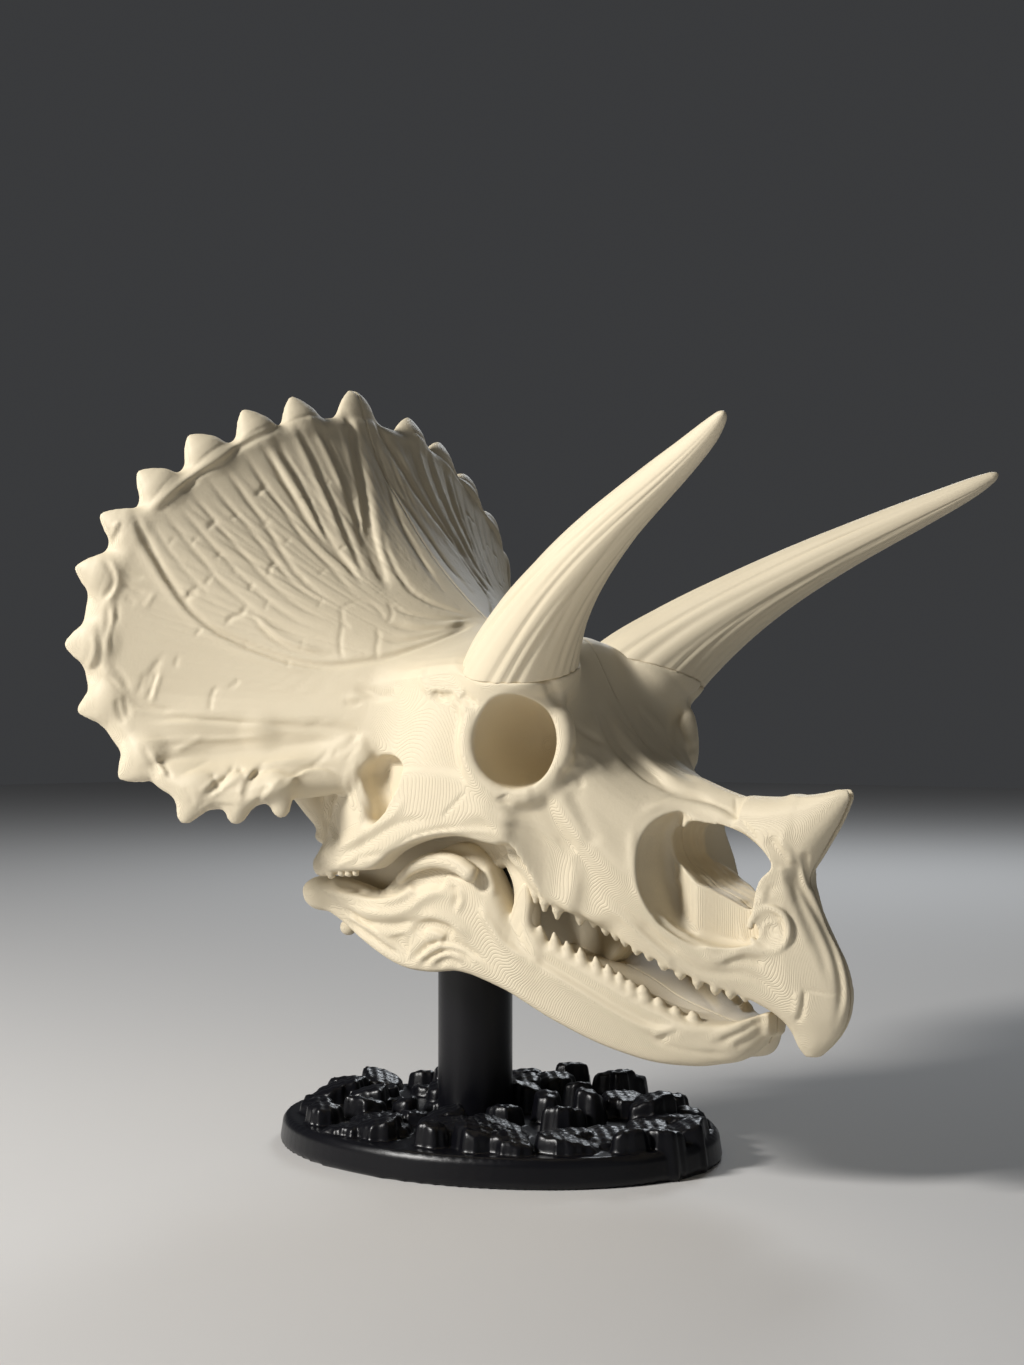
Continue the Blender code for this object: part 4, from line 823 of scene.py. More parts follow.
# ------------------------------------------------------------------------------------------ pieces
def planar_cut(bm: bmesh.types.BMesh, point: Sequence[float], normal: Sequence[float]) -> None:
    """Take off what lies ahead of a plane and close the cut.

    Args:
        bm: The mesh to cut, in metres.
        point: A point of the plane.
        normal: The way that the plane faces.
    """
    geometry = bm.verts[:] + bm.edges[:] + bm.faces[:]
    cut = bmesh.ops.bisect_plane(bm, geom=geometry, plane_co=point, plane_no=normal, clear_outer=True,
                                 dist=CUT_TOLERANCE)
    rim = [edge for edge in cut["geom_cut"] if isinstance(edge, bmesh.types.BMEdge)]
    bmesh.ops.triangle_fill(bm, edges=rim, use_beauty=True, normal=normal)
    bmesh.ops.holes_fill(bm, edges=[edge for edge in bm.edges if edge.is_boundary], sides=0)


@dataclass
class Skin:
    """Finished surface in millimetres, in the half space, with a soft-shading direction at each corner."""

    verts: Array
    faces: Array
    normals: Array

    @classmethod
    def of(cls, grid: Grid) -> "Skin":
        """Read the surface of a grid's solid.

        Args:
            grid: The grid to read.

        Returns:
            The surface with its shading directions.
        """
        verts, faces = grid.skin()
        way = grid.slope(verts)
        return cls(verts, faces, way / np.maximum(np.linalg.norm(way, axis=1), TINY)[:, None])

    def mesh(self, name: str, side: Side) -> bmesh.types.BMesh:
        """Mesh in metres on one side of the animal, which carries the shading directions.

        Args:
            name: Name of the mesh while it is being made.
            side: Side that it stands on.

        Returns:
            The mesh.
        """
        flip = np.array((1, side.value, 1))
        faces = self.faces if side is Side.LEFT else self.faces[:, ::-1]
        data = bpy.data.meshes.new(name)
        data.from_pydata((self.verts * flip * MM).tolist(), [], faces.tolist())
        layer = data.attributes.new("way", "FLOAT_VECTOR", "POINT")
        layer.data.foreach_set("vector", (self.normals * flip).astype(np.float32).ravel())
        bm = bmesh.new()
        bm.from_mesh(data)
        bpy.data.meshes.remove(data)
        return bm


def place_piece(name: str, bm: bmesh.types.BMesh, material: bpy.types.Material,
                nodes: Sequence[str]) -> bpy.types.Object:
    """Turn a mesh into a shown piece of the model.

    Args:
        name: The piece's name.
        bm: Its mesh in metres, in the model's frame.
        material: Its finish.
        nodes: The CAD nodes that it stands for.

    Returns:
        The piece.
    """
    mesh = bpy.data.meshes.new(name)
    bm.to_mesh(mesh)
    bm.free()
    mesh.materials.append(material)
    mesh.shade_smooth()
    ways = mesh.attributes.get("way")
    if ways:
        normals = np.zeros(len(mesh.vertices) * 3, np.float32)
        ways.data.foreach_get("vector", normals)
        normals = normals.reshape(-1, 3)
        mesh.attributes.remove(ways)
        mesh.normals_split_custom_set_from_vertices(normals)
    piece = bpy.data.objects.new(name, mesh)
    bpy.context.scene.collection.objects.link(piece)
    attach(piece, "root")
    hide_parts(*nodes)
    LOG.info("%s: %d faces", name, len(mesh.polygons))
    return piece


def seam_gap(x: Array, z: Array) -> Array:
    """Half of the gap between the two printed halves, which opens towards the tip of the nose horn."""
    return 0.03 + 0.30 * ramp(x, 104, 124) + 0.5 * ramp(x, 122, 138) * ramp(z, 98, 114)


# ------------------------------------------------------------------------------------------- frill
@dataclass
class Spike:
    """One spike on the frill's rim: where, how tall, half as wide, and how blunt."""

    place: float
    height: float
    half: float
    blunt: float = 0.14


@dataclass
class FrillSheet(Shape):
    """Dished sheet that fans out from the back of the head to the rim behind the spikes."""

    tips: Path
    aims: Path
    hinge: Path
    inset: float = 10.5
    dish: float = 8.0
    thickness: float = 7.5
    last_turn: float = 0.86
    relief: Callable[[Array, Array], Array] | None = None
    turn_limits: Pair = (-0.08, 1.03)
    reach_limits: Pair = (-0.3, 1.15)
    steepest: float = 12
    fine = True

    def box(self) -> Box:
        """Lowest and highest corner.

        Returns:
            Both corners.
        """
        turn, reach = np.meshgrid(np.linspace(0, 1, 30), np.linspace(0, 1, 12))
        pts = self.points(turn, reach).reshape(-1, 3)
        return pts.min(axis=0) - self.thickness, pts.max(axis=0) + self.thickness

    def outwards(self, turn: Array) -> Array:
        """The way in which the spikes point at places on the tip line."""
        way = self.tips(turn) - self.aims(turn)
        return way / np.linalg.norm(way, axis=-1, keepdims=True)

    @staticmethod
    def backwards(turn: Array | float) -> Array:
        """The way in which the sheet is dished, which swings inwards from the midline to the notch."""
        return np.array((-0.80, 0.0, -0.60)) * (1 - turn) + np.array((-0.45, -0.75, 0.0)) * turn

    def points(self, turn: Array, reach: Array) -> Array:
        """Points of the front face.

        Args:
            turn: How far round from the midline to the notch, 0 to 1.
            reach: How far out from the hinge to the rim, 0 to 1.

        Returns:
            Points in millimetres.
        """
        turn, reach = np.broadcast_arrays(turn, reach)
        held = np.minimum(np.abs(turn), 1)
        points = self.front(held, reach)
        step = 0.02
        lower = self.front(np.ones_like(held), reach)
        ahead = (lower - self.front(np.full_like(held, 1 - step), reach)) / step
        points = points + np.maximum(np.abs(turn) - 1, 0)[..., None] * ahead
        points[..., 1] *= np.where(turn < 0, -1, 1)
        return points

    def front(self, turn: Array, reach: Array) -> Array:
        """Points of the front face for turns from 0 to 1.

        Args:
            turn: How far round from the midline, 0 to 1.
            reach: How far out from the hinge, 0 to 1.

        Returns:
            Points in millimetres.
        """
        root = self.hinge(turn)
        chord = self.tips(turn) - self.outwards(turn) * self.inset - root
        back = self.backwards(turn[..., None])
        back = back - chord * ((back * chord).sum(-1) / (chord**2).sum(-1))[..., None]
        back = back / np.linalg.norm(back, axis=-1, keepdims=True)
        deep = self.dish * (1 - 0.7 * turn) * 4 * reach * (1 - reach)
        return root + chord * reach[..., None] + back * deep[..., None]

    def chart(self, s: Array, z: Array) -> tuple[Array, Array, Array]:
        """Find which turn and reach lie over each point of the S-Z plane, and how far off the nearest one is.

        Args:
            s: Coordinates away from the midline.
            z: Coordinates along Z.

        Returns:
            The turn, the reach and how far off it is.
        """
        turns, reaches = np.linspace(*self.turn_limits, 112), np.linspace(*self.reach_limits, 75)
        grid = np.stack(np.meshgrid(turns, reaches, indexing="ij"), axis=-1).reshape(-1, 2)
        known = self.points(grid[:, 0], grid[:, 1])[:, 1:]
        tree = KDTree(len(known))
        for i, (a, b) in enumerate(known.tolist()):
            tree.insert((a, b, 0), i)
        tree.balance()
        target = np.stack(np.meshgrid(s, z, indexing="ij"), axis=-1).reshape(-1, 2)
        first = np.array([tree.find((a, b, 0))[1] for a, b in target.tolist()])
        guess = grid[first].copy()
        step = 1e-3
        for _ in range(6):
            here = self.points(guess[:, 0], guess[:, 1])[:, 1:]
            by_turn = (self.points(guess[:, 0] + step, guess[:, 1])[:, 1:] - here) / step
            by_reach = (self.points(guess[:, 0], guess[:, 1] + step)[:, 1:] - here) / step
            miss = target - here
            area = by_turn[:, 0] * by_reach[:, 1] - by_turn[:, 1] * by_reach[:, 0]
            area = np.where(np.abs(area) < 1, 1, area)
            guess[:, 0] += ((miss[:, 0] * by_reach[:, 1] - miss[:, 1] * by_reach[:, 0]) / area).clip(-0.02, 0.02)
            guess[:, 1] += ((by_turn[:, 0] * miss[:, 1] - by_turn[:, 1] * miss[:, 0]) / area).clip(-0.03, 0.03)
            guess[:, 0] = guess[:, 0].clip(*self.turn_limits)
            guess[:, 1] = guess[:, 1].clip(*self.reach_limits)
        shape = (len(s), len(z))
        gap = np.linalg.norm(target - self.points(guess[:, 0], guess[:, 1])[:, 1:], axis=1)
        return guess[:, 0].reshape(shape), guess[:, 1].reshape(shape), gap.reshape(shape)

    def ribs(self, grid: Grid, low: float, high: float, count: int) -> None:
        """Join the part of the sheet that folds under as a row of ribs.

        Args:
            grid: The grid to add to.
            low: The first turn.
            high: The last turn.
            count: How many ribs.
        """
        reach = np.linspace(0.1, 0.985, 12)
        for turn in np.linspace(low, high, count):
            line = self.front(np.full_like(reach, turn), reach)
            way = self.backwards(turn)
            chord = line[-1] - line[0]
            way = unit(way - chord * (way @ chord) / (chord @ chord))
            grid.add(Rope(line + way * self.thickness * 0.5, np.full(len(line), self.thickness * 0.5)), 2.2)

    def distance(self, *rows: Array) -> Array:
        """Distance to the sheet with its relief.

        Args:
            rows: Coordinates along X, away from the midline and along Z.

        Returns:
            A block of signed distances.
        """
        x, s, z = rows
        turn, reach, gap = self.chart(s, z)
        pts = self.points(turn, reach)
        place = pts[..., 0]
        by_s, by_z = np.gradient(place, s, z)
        lean = 1 / np.sqrt(1 + by_s**2 + by_z**2)
        held = np.clip(turn, 0, 1)
        chord = np.linalg.norm(self.front(held, np.ones_like(held)) - self.hinge(held), axis=-1)
        step = 0.02
        last = self.front(np.ones_like(held), reach) - self.front(np.full_like(held, 1 - step), reach)
        round_step = np.linalg.norm(last, axis=-1) / step
        edge = np.maximum((reach - 1) * chord, (turn - self.last_turn) * round_step)
        edge = np.maximum(edge, (-0.10 - reach) * chord)
        off = (gap > 0.3) | (by_s**2 + by_z**2 > self.steepest)
        edge = np.where(off, np.maximum(edge, gap) + 3.0, edge)
        raised = self.relief(turn, reach) if self.relief else 0.0
        front = (x[:, None, None] - place[None]) * lean[None]
        sheet = soft_max(front - raised, -front - self.thickness, 0.8)
        return soft_max(sheet, np.broadcast_to(edge[None], sheet.shape), 5.0)


@dataclass
class Frill:
    """Frill of the skull with its spikes and the fan of ridges on its front."""

    tip_line: tuple[Triple, ...] = (
        (-70, 0, 270), (-69.5, 31, 265), (-77, 73, 246.5), (-85, 104.5, 217), (-92.5, 113.8, 185),
        (-90.5, 111, 149.5), (-77, 104, 127), (-56, 94, 112.5), (-29.5, 74, 114))
    aim_line: tuple[Triple, ...] = (
        (-45, 0, 200), (-48, 50, 185), (-50, 75, 168), (-50, 85, 150), (-31, 76, 140))
    hinge_line: tuple[Triple, ...] = (
        (6, 0, 174.5), (0, 24, 170), (-5, 42, 158), (-8, 48, 140), (-13, 50, 127))
    spikes: tuple[Spike, ...] = (
        Spike(0.112, 9.5, 8.8), Spike(0.192, 10.5, 8.8), Spike(0.278, 11.5, 9.5), Spike(0.363, 11.5, 9.0),
        Spike(0.439, 11.0, 8.0), Spike(0.511, 11.5, 8.5), Spike(0.605, 12.0, 8.8), Spike(0.685, 12.0, 8.0),
        Spike(0.781, 12.0, 8.5), Spike(0.879, 11.0, 7.0, 0.4), Spike(0.945, 10.0, 5.8, 0.6),
        Spike(1.000, 10.0, 5.0, 0.7))
    grooves: int = 58
    seed: int = 11
    sheet: FrillSheet = field(init=False)

    def __post_init__(self) -> None:
        """Lay the sheet through the lines."""
        self.sheet = FrillSheet(Path(self.tip_line), Path(self.aim_line), Path(self.hinge_line), relief=self.relief)

    def relief(self, turn: Array, reach: Array) -> Array:
        """Height of the fan of ridges and grooves.

        Args:
            turn: How far round from the midline.
            reach: How far out from the hinge.

        Returns:
            Heights in millimetres.
        """
        draw = np.random.default_rng(self.seed)
        height = np.zeros_like(turn)
        size = 0.35 + 0.9 * np.clip(reach, 0, 1)
        for i in range(self.grooves):
            place = (i + draw.uniform(0.25, 0.75)) / self.grooves * 0.80 - 0.005
            start = draw.uniform(0.0, 0.45)
            end = draw.uniform(0.80, 0.96)
            bend = draw.uniform(-0.006, 0.006)
            deep = draw.uniform(0.12, 0.34)
            wide = draw.uniform(0.0026, 0.0046) * size
            wave = place + bend * np.sin(reach * draw.uniform(4, 8) + i) + 0.03 * place * (1 - place) * (1 - reach)
            fade = np.clip((reach - start) / 0.12, 0, 1) * np.clip((end - reach) / 0.06, 0, 1)
            height -= deep * fade * np.exp(-((turn - wave) / wide) ** 2) * (1.0 if place < 0.56 else 0.5)
            height += 0.45 * deep * fade * np.exp(-((turn - wave - 1.6 * wide) / (1.6 * wide)) ** 2)
        band = np.exp(-((reach - 0.985) / 0.03) ** 2)
        return height + 0.5 * band * np.clip(1.05 - turn, 0, 1)

    def shape(self, grid: Grid) -> None:
        """Join the sheet and its spikes to the solid in a grid.

        Args:
            grid: The grid to fill.
        """
        grid.add(self.sheet, 6.0)
        self.sheet.ribs(grid, 0.82, 1.0, 15)
        for spike in self.spikes:
            grid.add(self.spike_shape(spike), 2.6)
        top = rope(((-70, 0, 254), (-71, 0, 262), (-73, 0, 268.6)), (11.5, 7.5, 2.2), 7, flat=0.42,
                   flat_way=np.array((1.0, 0.0, 0.0)))
        grid.add(top, 2.5)

    def spike_shape(self, spike: Spike) -> Rope:
        """Flattened cone that stands on the rim.

        Args:
            spike: The spike.

        Returns:
            The cone.
        """
        place = np.array([spike.place])
        tip = self.sheet.tips(place)[0]
        out = self.sheet.outwards(place)[0]
        tangent = self.sheet.tips(np.minimum(place + 0.01, 1))[0] - self.sheet.tips(place - 0.01)[0]
        tangent = unit(tangent - out * (tangent @ out))
        thick = np.cross(out, tangent)
        thick = -thick if thick[0] > 0 else thick
        depth = thick * self.sheet.thickness * 0.45
        inner = self.sheet.front(place, np.array([0.92]))[0]
        rim = self.sheet.front(place, np.array([1.0]))[0]
        shares = np.array((0.3, 0.55, 0.75, 0.9, 1.0))
        widths = np.array((0.70, 0.90, 0.66, 0.43, 0.26, 0.15))
        widths = widths * (1 - spike.blunt) + spike.blunt * np.array((0.8, 1.0, 0.92, 0.88, 0.8, 0.62))
        radii = widths * spike.half
        end = tip - out * radii[-1]
        line = np.concatenate(([rim + unit(inner - rim) * 2.0], rim + (end - rim) * (shares[:, None] - 0.3) / 0.7))
        line += depth
        return Rope(line, radii, flat=0.55, flat_way=thick)


# -------------------------------------------------------------------------------------------- head
@dataclass
class PostHole(Shape):
    """Upright round hole in the skull for the stand's post."""

    place: float = -10.0
    radius: float = 13.3
    low: float = 40.0
    high: float = 113.3
    outline: Array = field(init=False)

    def __post_init__(self) -> None:
        """Draw the hole's edge."""
        turn = np.linspace(0, 2 * np.pi, 48, endpoint=False)
        self.outline = np.stack((self.place + self.radius * np.cos(turn), self.radius * np.sin(turn)), axis=1)

    def box(self) -> Box:
        """Lowest and highest corner."""
        return np.array((*self.outline.min(axis=0), self.low)), np.array((*self.outline.max(axis=0), self.high))

    def distance(self, *rows: Array) -> Array:
        """Distance to the hole's wall or end."""
        flat = outline_distance(*rows[:2], self.outline)[:, :, None]
        return np.maximum(flat, np.maximum(rows[2] - self.high, self.low - rows[2])[None, None, :])


@dataclass
class Head:
    """Upper skull in front of the frill: braincase, cheek, eye socket, snout, nose horn and beak."""

    crest: Run = Run((-36, 176), (2, 177.5), (30, 175.5), (42, 171.5), (51, 156.4), (66, 138.5), (86, 128.5),
                     (104, 122.5), (128, 121.5))
    brow_side: Run = Run((-36, 22), (-26, 34), (0, 43), (28, 44), (46, 37.5), (58, 30), (76, 21), (100, 11), (128, 6))
    brow_height: Run = Run((-36, 158), (0, 163), (30, 163), (48, 156), (60, 136), (76, 121), (100, 112), (128, 108))
    cheek_side: Run = Run((-36, 21), (-26, 34), (-16, 45), (0, 49), (28, 46.5), (48, 38.5), (68, 32.5), (90, 24),
                          (110, 14.6), (121, 7.0))
    cheek_height: Run = Run((-36, 138), (20, 134), (50, 124), (75, 101), (100, 86), (128, 80))
    edge_side: Run = Run((-36, 17), (-24, 32), (-12, 44), (20, 47), (46, 40), (52, 31), (80, 23.5), (105, 13.6),
                         (121, 5.0))
    edge_height: Run = Run((-36, 112), (-12, 112), (20, 112), (42, 109.5), (46.5, 100), (50, 90),
                           (54, 86.3), (60, 83.6), (70, 79.3), (80, 74.5), (100, 65.5),
                           (118, 60), (128, 57.5))
    fossa_height: Run = Run((-36, 113), (-12, 111), (20, 110), (41, 108), (51, 93), (80, 80), (100, 70), (114, 63),
                            (121, 58))
    palate: Run = Run((-36, 110), (-20, 104), (0, 102), (30, 103), (44, 98), (60, 88), (80, 79), (100, 69),
                      (112, 62), (122, 57))
    back: float = -36
    front: float = 121
    orbit_centre: Triple = (43.6, 39.8, 139.5)
    orbit_way: Triple = (0.42, 0.905, 0.06)
    orbit_radii: Pair = (13.4, 14.8)
    orbit_depth: float = 30.0
    horn_seat: Triple = (40, 30, 164)
    horn_seat_way: Triple = (0.10, 0.27, 0.957)

    def braincase(self) -> Loft:
        """Body of the skull, as upright cross-sections along X.

        Returns:
            The body.
        """
        places = np.linspace(self.back, self.front, 84)
        rings = []
        for x in places:
            crest, palate = float(self.crest(x)), float(self.palate(x))
            brow = (float(self.brow_side(x)), float(self.brow_height(x)))
            cheek = (float(self.cheek_side(x)), float(self.cheek_height(x)))
            edge = (float(self.edge_side(x)), float(self.edge_height(x)))
            side = [(brow[0] * 0.55, crest * 0.62 + brow[1] * 0.38), brow,
                    ((brow[0] + cheek[0]) / 2 * 1.01, (brow[1] + cheek[1]) / 2), cheek,
                    ((edge[0] + cheek[0]) / 2 * 1.02, (edge[1] + cheek[1]) / 2), edge,
                    (max(edge[0] - 5.0, edge[0] * 0.6), edge[1] * 0.7 + float(self.fossa_height(x)) * 0.3 + 0.5),
                    (max(edge[0] - 8.0, edge[0] * 0.4), float(self.fossa_height(x)))]
            ring = [(0.0, crest), *side, (0.0, palate), *[(-s, z) for s, z in reversed(side)]]
            rings.append(closed_curve(ring, 72))
        return Loft(0, places, np.array(rings))

    def beak(self) -> Loft:
        """Hooked upper beak, as level cross-sections.

        Returns:
            The beak.
        """
        slices = ((44.5, 130, 125.5, 2.2), (47.5, 133.5, 123.5, 3.8), (52, 137.5, 121.5, 5.2), (57, 140, 117, 7.4),
                  (62.7, 140.7, 108, 9.4), (73, 138.7, 100, 11.2), (86, 131.8, 99, 11.8), (94, 128.5, 100, 10.8),
                  (98, 127.6, 101, 9.8), (105, 130.2, 102, 8.4), (112, 134.6, 106, 6.8), (118, 138.8, 114, 4.6),
                  (122, 140.4, 122, 2.6))
        front, back, half = (Run(*[(row[0], row[n]) for row in slices]) for n in (1, 2, 3))
        places = np.linspace(44.5, 122, 50)
        rings = []
        for z in places:
            f, b, h = float(front(z)), float(back(z)), float(half(z))
            side = [(f - (f - b) * 0.06, h * 0.38), (f - (f - b) * 0.22, h * 0.70), (f - (f - b) * 0.5, h),
                    (b + (f - b) * 0.1, h * 0.95)]
            rings.append(closed_curve([(f, 0.0), *side, (b, 0.0), *[(x, -s) for x, s in reversed(side)]], 48))
        return Loft(2, places, np.array(rings))

    def nose_horn(self) -> Loft:
        """Short horn over the nostrils, as upright cross-sections.

        Returns:
            The horn.
        """
        slices = ((106, 106, 122.2, 8.5), (118, 103, 122.5, 8.5), (128, 102.5, 123.5, 7.2), (133, 108.5, 124.5, 5.6),
                  (138, 116, 125.8, 3.4), (141.2, 122, 126.2, 1.4))
        low, high, half = (Run(*[(row[0], row[n]) for row in slices]) for n in (1, 2, 3))
        places = np.linspace(106, 141.2, 30)
        turn = np.linspace(0, 2 * np.pi, 32, endpoint=False)
        rings = [np.stack((half(x) * np.cos(turn), (low(x) + high(x)) / 2 + (high(x) - low(x)) / 2 * np.sin(turn)), 1)
                 for x in places]
        return Loft(0, places, np.array(rings))

    def cheek_flange(self) -> Plate:
        """Flange of the cheek that runs back over the jaw's joint.

        Returns:
            The flange.
        """
        outline = ((-38, 94.2), (-34, 93.6), (-28, 95.4), (-19, 96.4), (-9, 97.5), (-1, 103), (10, 107.3), (24, 109.2),
                   (42, 107.5), (38, 125), (5, 130), (-4, 116), (-15, 110.5), (-26, 106.5), (-33.5, 103.5), (-39, 99))
        outer = Run((-38.5, 51.5), (-20, 53.5), (10, 50.8), (42, 45))
        return Plate(closed_curve(outline, 60), lambda x: outer(x) - 4.8, 9.6, 2.2)

    def bar(self) -> Plate:
        """Bar between the opening behind the eye and the notch."""
        outline = ((-34, 99), (-16, 100), (-11, 112), (-12, 136), (-25, 136), (-27.5, 124), (-30, 112))
        return slab(outline, 40, 46.5, 13.0, 3.5)

    def inner_walls(self, grid: Grid) -> None:
        """Build the walls that close the cheek on the inside, behind the notch and above the jaw's joint.

        Args:
            grid: The grid to fill.
        """
        wall = ((-43, 88), (-30, 84), (-10, 88), (8, 92), (22, 96), (32, 101), (34, 114), (-30, 118), (-44, 108))
        grid.add(slab(wall, 50, 28.5, 7.0, 3.0), 2.5)
        grid.add(rope(((-52, 54, 143), (-49, 50, 130), (-44, 46, 120), (-38.5, 44, 112), (-35, 44, 103)),
                      (6.5, 6.0, 5.6, 4.6, 3.4)), 3.0)
        grid.add(rope(((-38, 40, 140), (-36, 40, 126), (-32, 40, 112), (-30, 42, 100)), (8, 8, 7, 5)), 3.0)
        grid.add(ball((-39.0, 45.5, 107.0), (3.0, 3.0, 2.6)), 1.2)
        pillar = ((24, 110), (31, 99), (34.5, 92), (34, 84), (33, 76), (36, 70), (42, 72), (43.5, 82), (43.5, 90),
                  (47, 90.5), (53, 88), (60, 87), (62, 104), (40, 116), (26, 116))
        grid.add(slab(pillar, 60, 29.3, 6.6, 3.0), 2.5)
        cover = ((37, 104), (42, 97), (46, 92.5), (52, 89), (58, 86.5), (66, 82.5), (74, 86), (70, 97), (58, 108),
                 (44, 112))
        middle = Run((34, 36.5), (46, 32.0), (56, 28.0), (70, 24.0), (80, 21.0))
        grid.add(Plate(closed_curve(cover, 50), middle, 8.0, 3.5), 4.0)
        septum = ((18, 62), (18, 104), (62, 104), (66, 86), (60, 74), (50, 66))
        grid.add(slab(septum, 40, 0.0, 9.0, 2.0), 1.5)

    def denticles(self, grid: Grid) -> None:
        """Stand small lobes under the back end of the cheek's flange."""
        for x, z, size in ((-30.2, 94.2, 1.7), (-25.0, 95.0, 1.5), (-21.6, 95.1, 1.5), (-18.2, 95.4, 1.4)):
            grid.add(ball((x, 50.3, z), (size, size, size * 0.8)), 0.5)

    def orbit_axes(self) -> Array:
        """Axes of the eye socket: forwards, upwards, outwards.

        Returns:
            Three directions of length 1.
        """
        out = unit(self.orbit_way)
        ahead = unit(np.cross(out, (0, 0, 1)))
        ahead = ahead if ahead[0] > 0 else -ahead
        up = np.cross(out, ahead)
        return np.array((ahead, up if up[2] > 0 else -up, out))

    def orbit_ring(self, spread: float, out: float, radius: float) -> Rope:
        """Ring round the eye socket.

        Args:
            spread: How far outside the socket's edge it runs.
            out: How far outwards it stands.
            radius: Half of its thickness.

        Returns:
            The ring.
        """
        ahead, up, way = self.orbit_axes()
        turn = np.linspace(0, 2 * np.pi, 29)[:, None]
        wide, tall = (half + spread for half in self.orbit_radii)
        ring = ahead * np.cos(turn) * wide + up * np.sin(turn) * tall
        return Rope(np.array(self.orbit_centre) + ring + way * out, np.full(len(turn), radius))

    def shape(self, grid: Grid, frill: Frill, horn: "BrowHorn") -> None:
        """Build the whole upper skull in a grid.

        Args:
            grid: Grid to fill.
            frill: The frill, which blends into the head.
            horn: The brow horn, whose foot the head carries.
        """
        grid.add(self.braincase())
        grid.add(self.beak(), 5.0)
        grid.add(self.nose_horn(), 3.0)
        grid.add(self.cheek_flange(), 3.0)
        grid.add(self.bar(), 3.0)
        self.inner_walls(grid)
        frill.shape(grid)
        grid.add(rope(((-26, 15, 145), (-38, 36, 144), (-48, 64, 140)), (8.5, 8.5, 8.5)), 4.0)
        grid.add(ball((-40.0, 0, 128), (8.0, 8.0, 8.0)), 1.5)
        grid.add(Clipped(horn.foot(), np.array(self.horn_seat), unit(self.horn_seat_way)), 5.0)
        grid.add(self.orbit_ring(2.6, 0.0, 3.4), 3.0)
        way = self.orbit_axes()
        socket = Bowl(np.array(self.orbit_centre) + way[2] * 1.0, way, np.array((*self.orbit_radii, self.orbit_depth)))
        grid.cut(socket, 1.0)
        self.open_sides(grid)
        self.open_nose(grid)
        self.disc(grid)
        grid.cut(PostHole(), 0.3)
        self.denticles(grid)
        self.teeth(grid)
        grid.brush(FRILL_STROKES + HEAD_STROKES)

    def open_sides(self, grid: Grid) -> None:
        """Hollow the opening behind the eye.

        Args:
            grid: The grid to fill.
        """
        outline = ((-13.8, 129.5), (-9.8, 133.9), (-3.6, 134.8), (1.6, 132.6), (3.4, 127.9), (0.9, 122.3),
                   (-3.6, 116.7), (-8.3, 112.2), (-10.2, 118.7), (-12.6, 124))
        grid.cut(slab(outline, 60, 60.0, 33.0, 4.0), 1.0)

    def open_nose(self, grid: Grid) -> None:
        """Hollow the nostril, the chamber inside it and the window between them.

        Args:
            grid: The grid to fill.
        """
        outline = ((80, 110), (85, 117), (95, 118), (105, 114.5), (114, 108), (118.5, 102), (115, 97), (114, 88),
                   (115, 79), (105, 77), (93, 80), (85, 87), (81, 97))
        floor = Run((80, 9.5), (84.5, 9.5), (89, 12.0), (94, 12.5), (100, 10.0), (107, 8.0), (118, 6.3))
        grid.cut(Plate(closed_curve(outline, 64), lambda x: floor(x) + 30, 60.0, 2.6), 0.8)
        window = ((83, 109.9), (83, 106.8), (84.3, 102.9), (87.4, 100.2), (91.4, 97.5), (94, 95.5), (97.4, 94.2),
                  (101, 92.8), (107.6, 90), (110.5, 92), (110.3, 95), (113.2, 96.2), (112.6, 98.6), (115, 101),
                  (113.5, 105), (108, 110), (100, 113.3), (93, 114.8), (89.9, 114.3), (88.2, 112.8), (85, 112.2))
        curve = closed_curve(window, 84)
        middle = curve.mean(axis=0)
        for share, spread in ((5.2, 1.24), (7.6, 1.16), (10.0, 1.08)):
            grid.cut(Plate(middle + (curve - middle) * spread, lambda x: np.zeros_like(x), 2 * share, 1.0), 0.5)
        grid.cut(Plate(curve, lambda x: np.zeros_like(x), 40.0, 0.5), 0.6)

    def disc(self, grid: Grid) -> None:
        """Sink a ringed disc into the side of the beak, in front of the nostril.

        Args:
            grid: The grid to fill.
        """
        centre, out = np.array((119.0, 11.0, 82.8)), unit((0.16, 0.987, 0))
        ahead, up = unit((0.987, -0.16, 0)), np.array((0.0, 0.0, 1.0))
        grid.cut(Bowl(centre + out * 1.6, np.array((ahead, up, out)), np.array((5.6, 6.0, 2.2))), 0.4)
        turn = np.linspace(-2.6, 3.0, 25)[:, None]
        ring = centre + ahead * np.cos(turn) * 6.3 + up * np.sin(turn) * 6.6 - out * 0.5
        grid.add(Rope(ring, np.full(25, 1.15)), 0.8)
        turn = np.linspace(1.2, 3.4, 9)[:, None]
        arc = centre + ahead * (np.cos(turn) * 3.2 + 1.2) + up * (np.sin(turn) * 3.0 - 0.4) - out * 0.9
        grid.add(Rope(arc, np.full(9, 0.75)), 0.6)

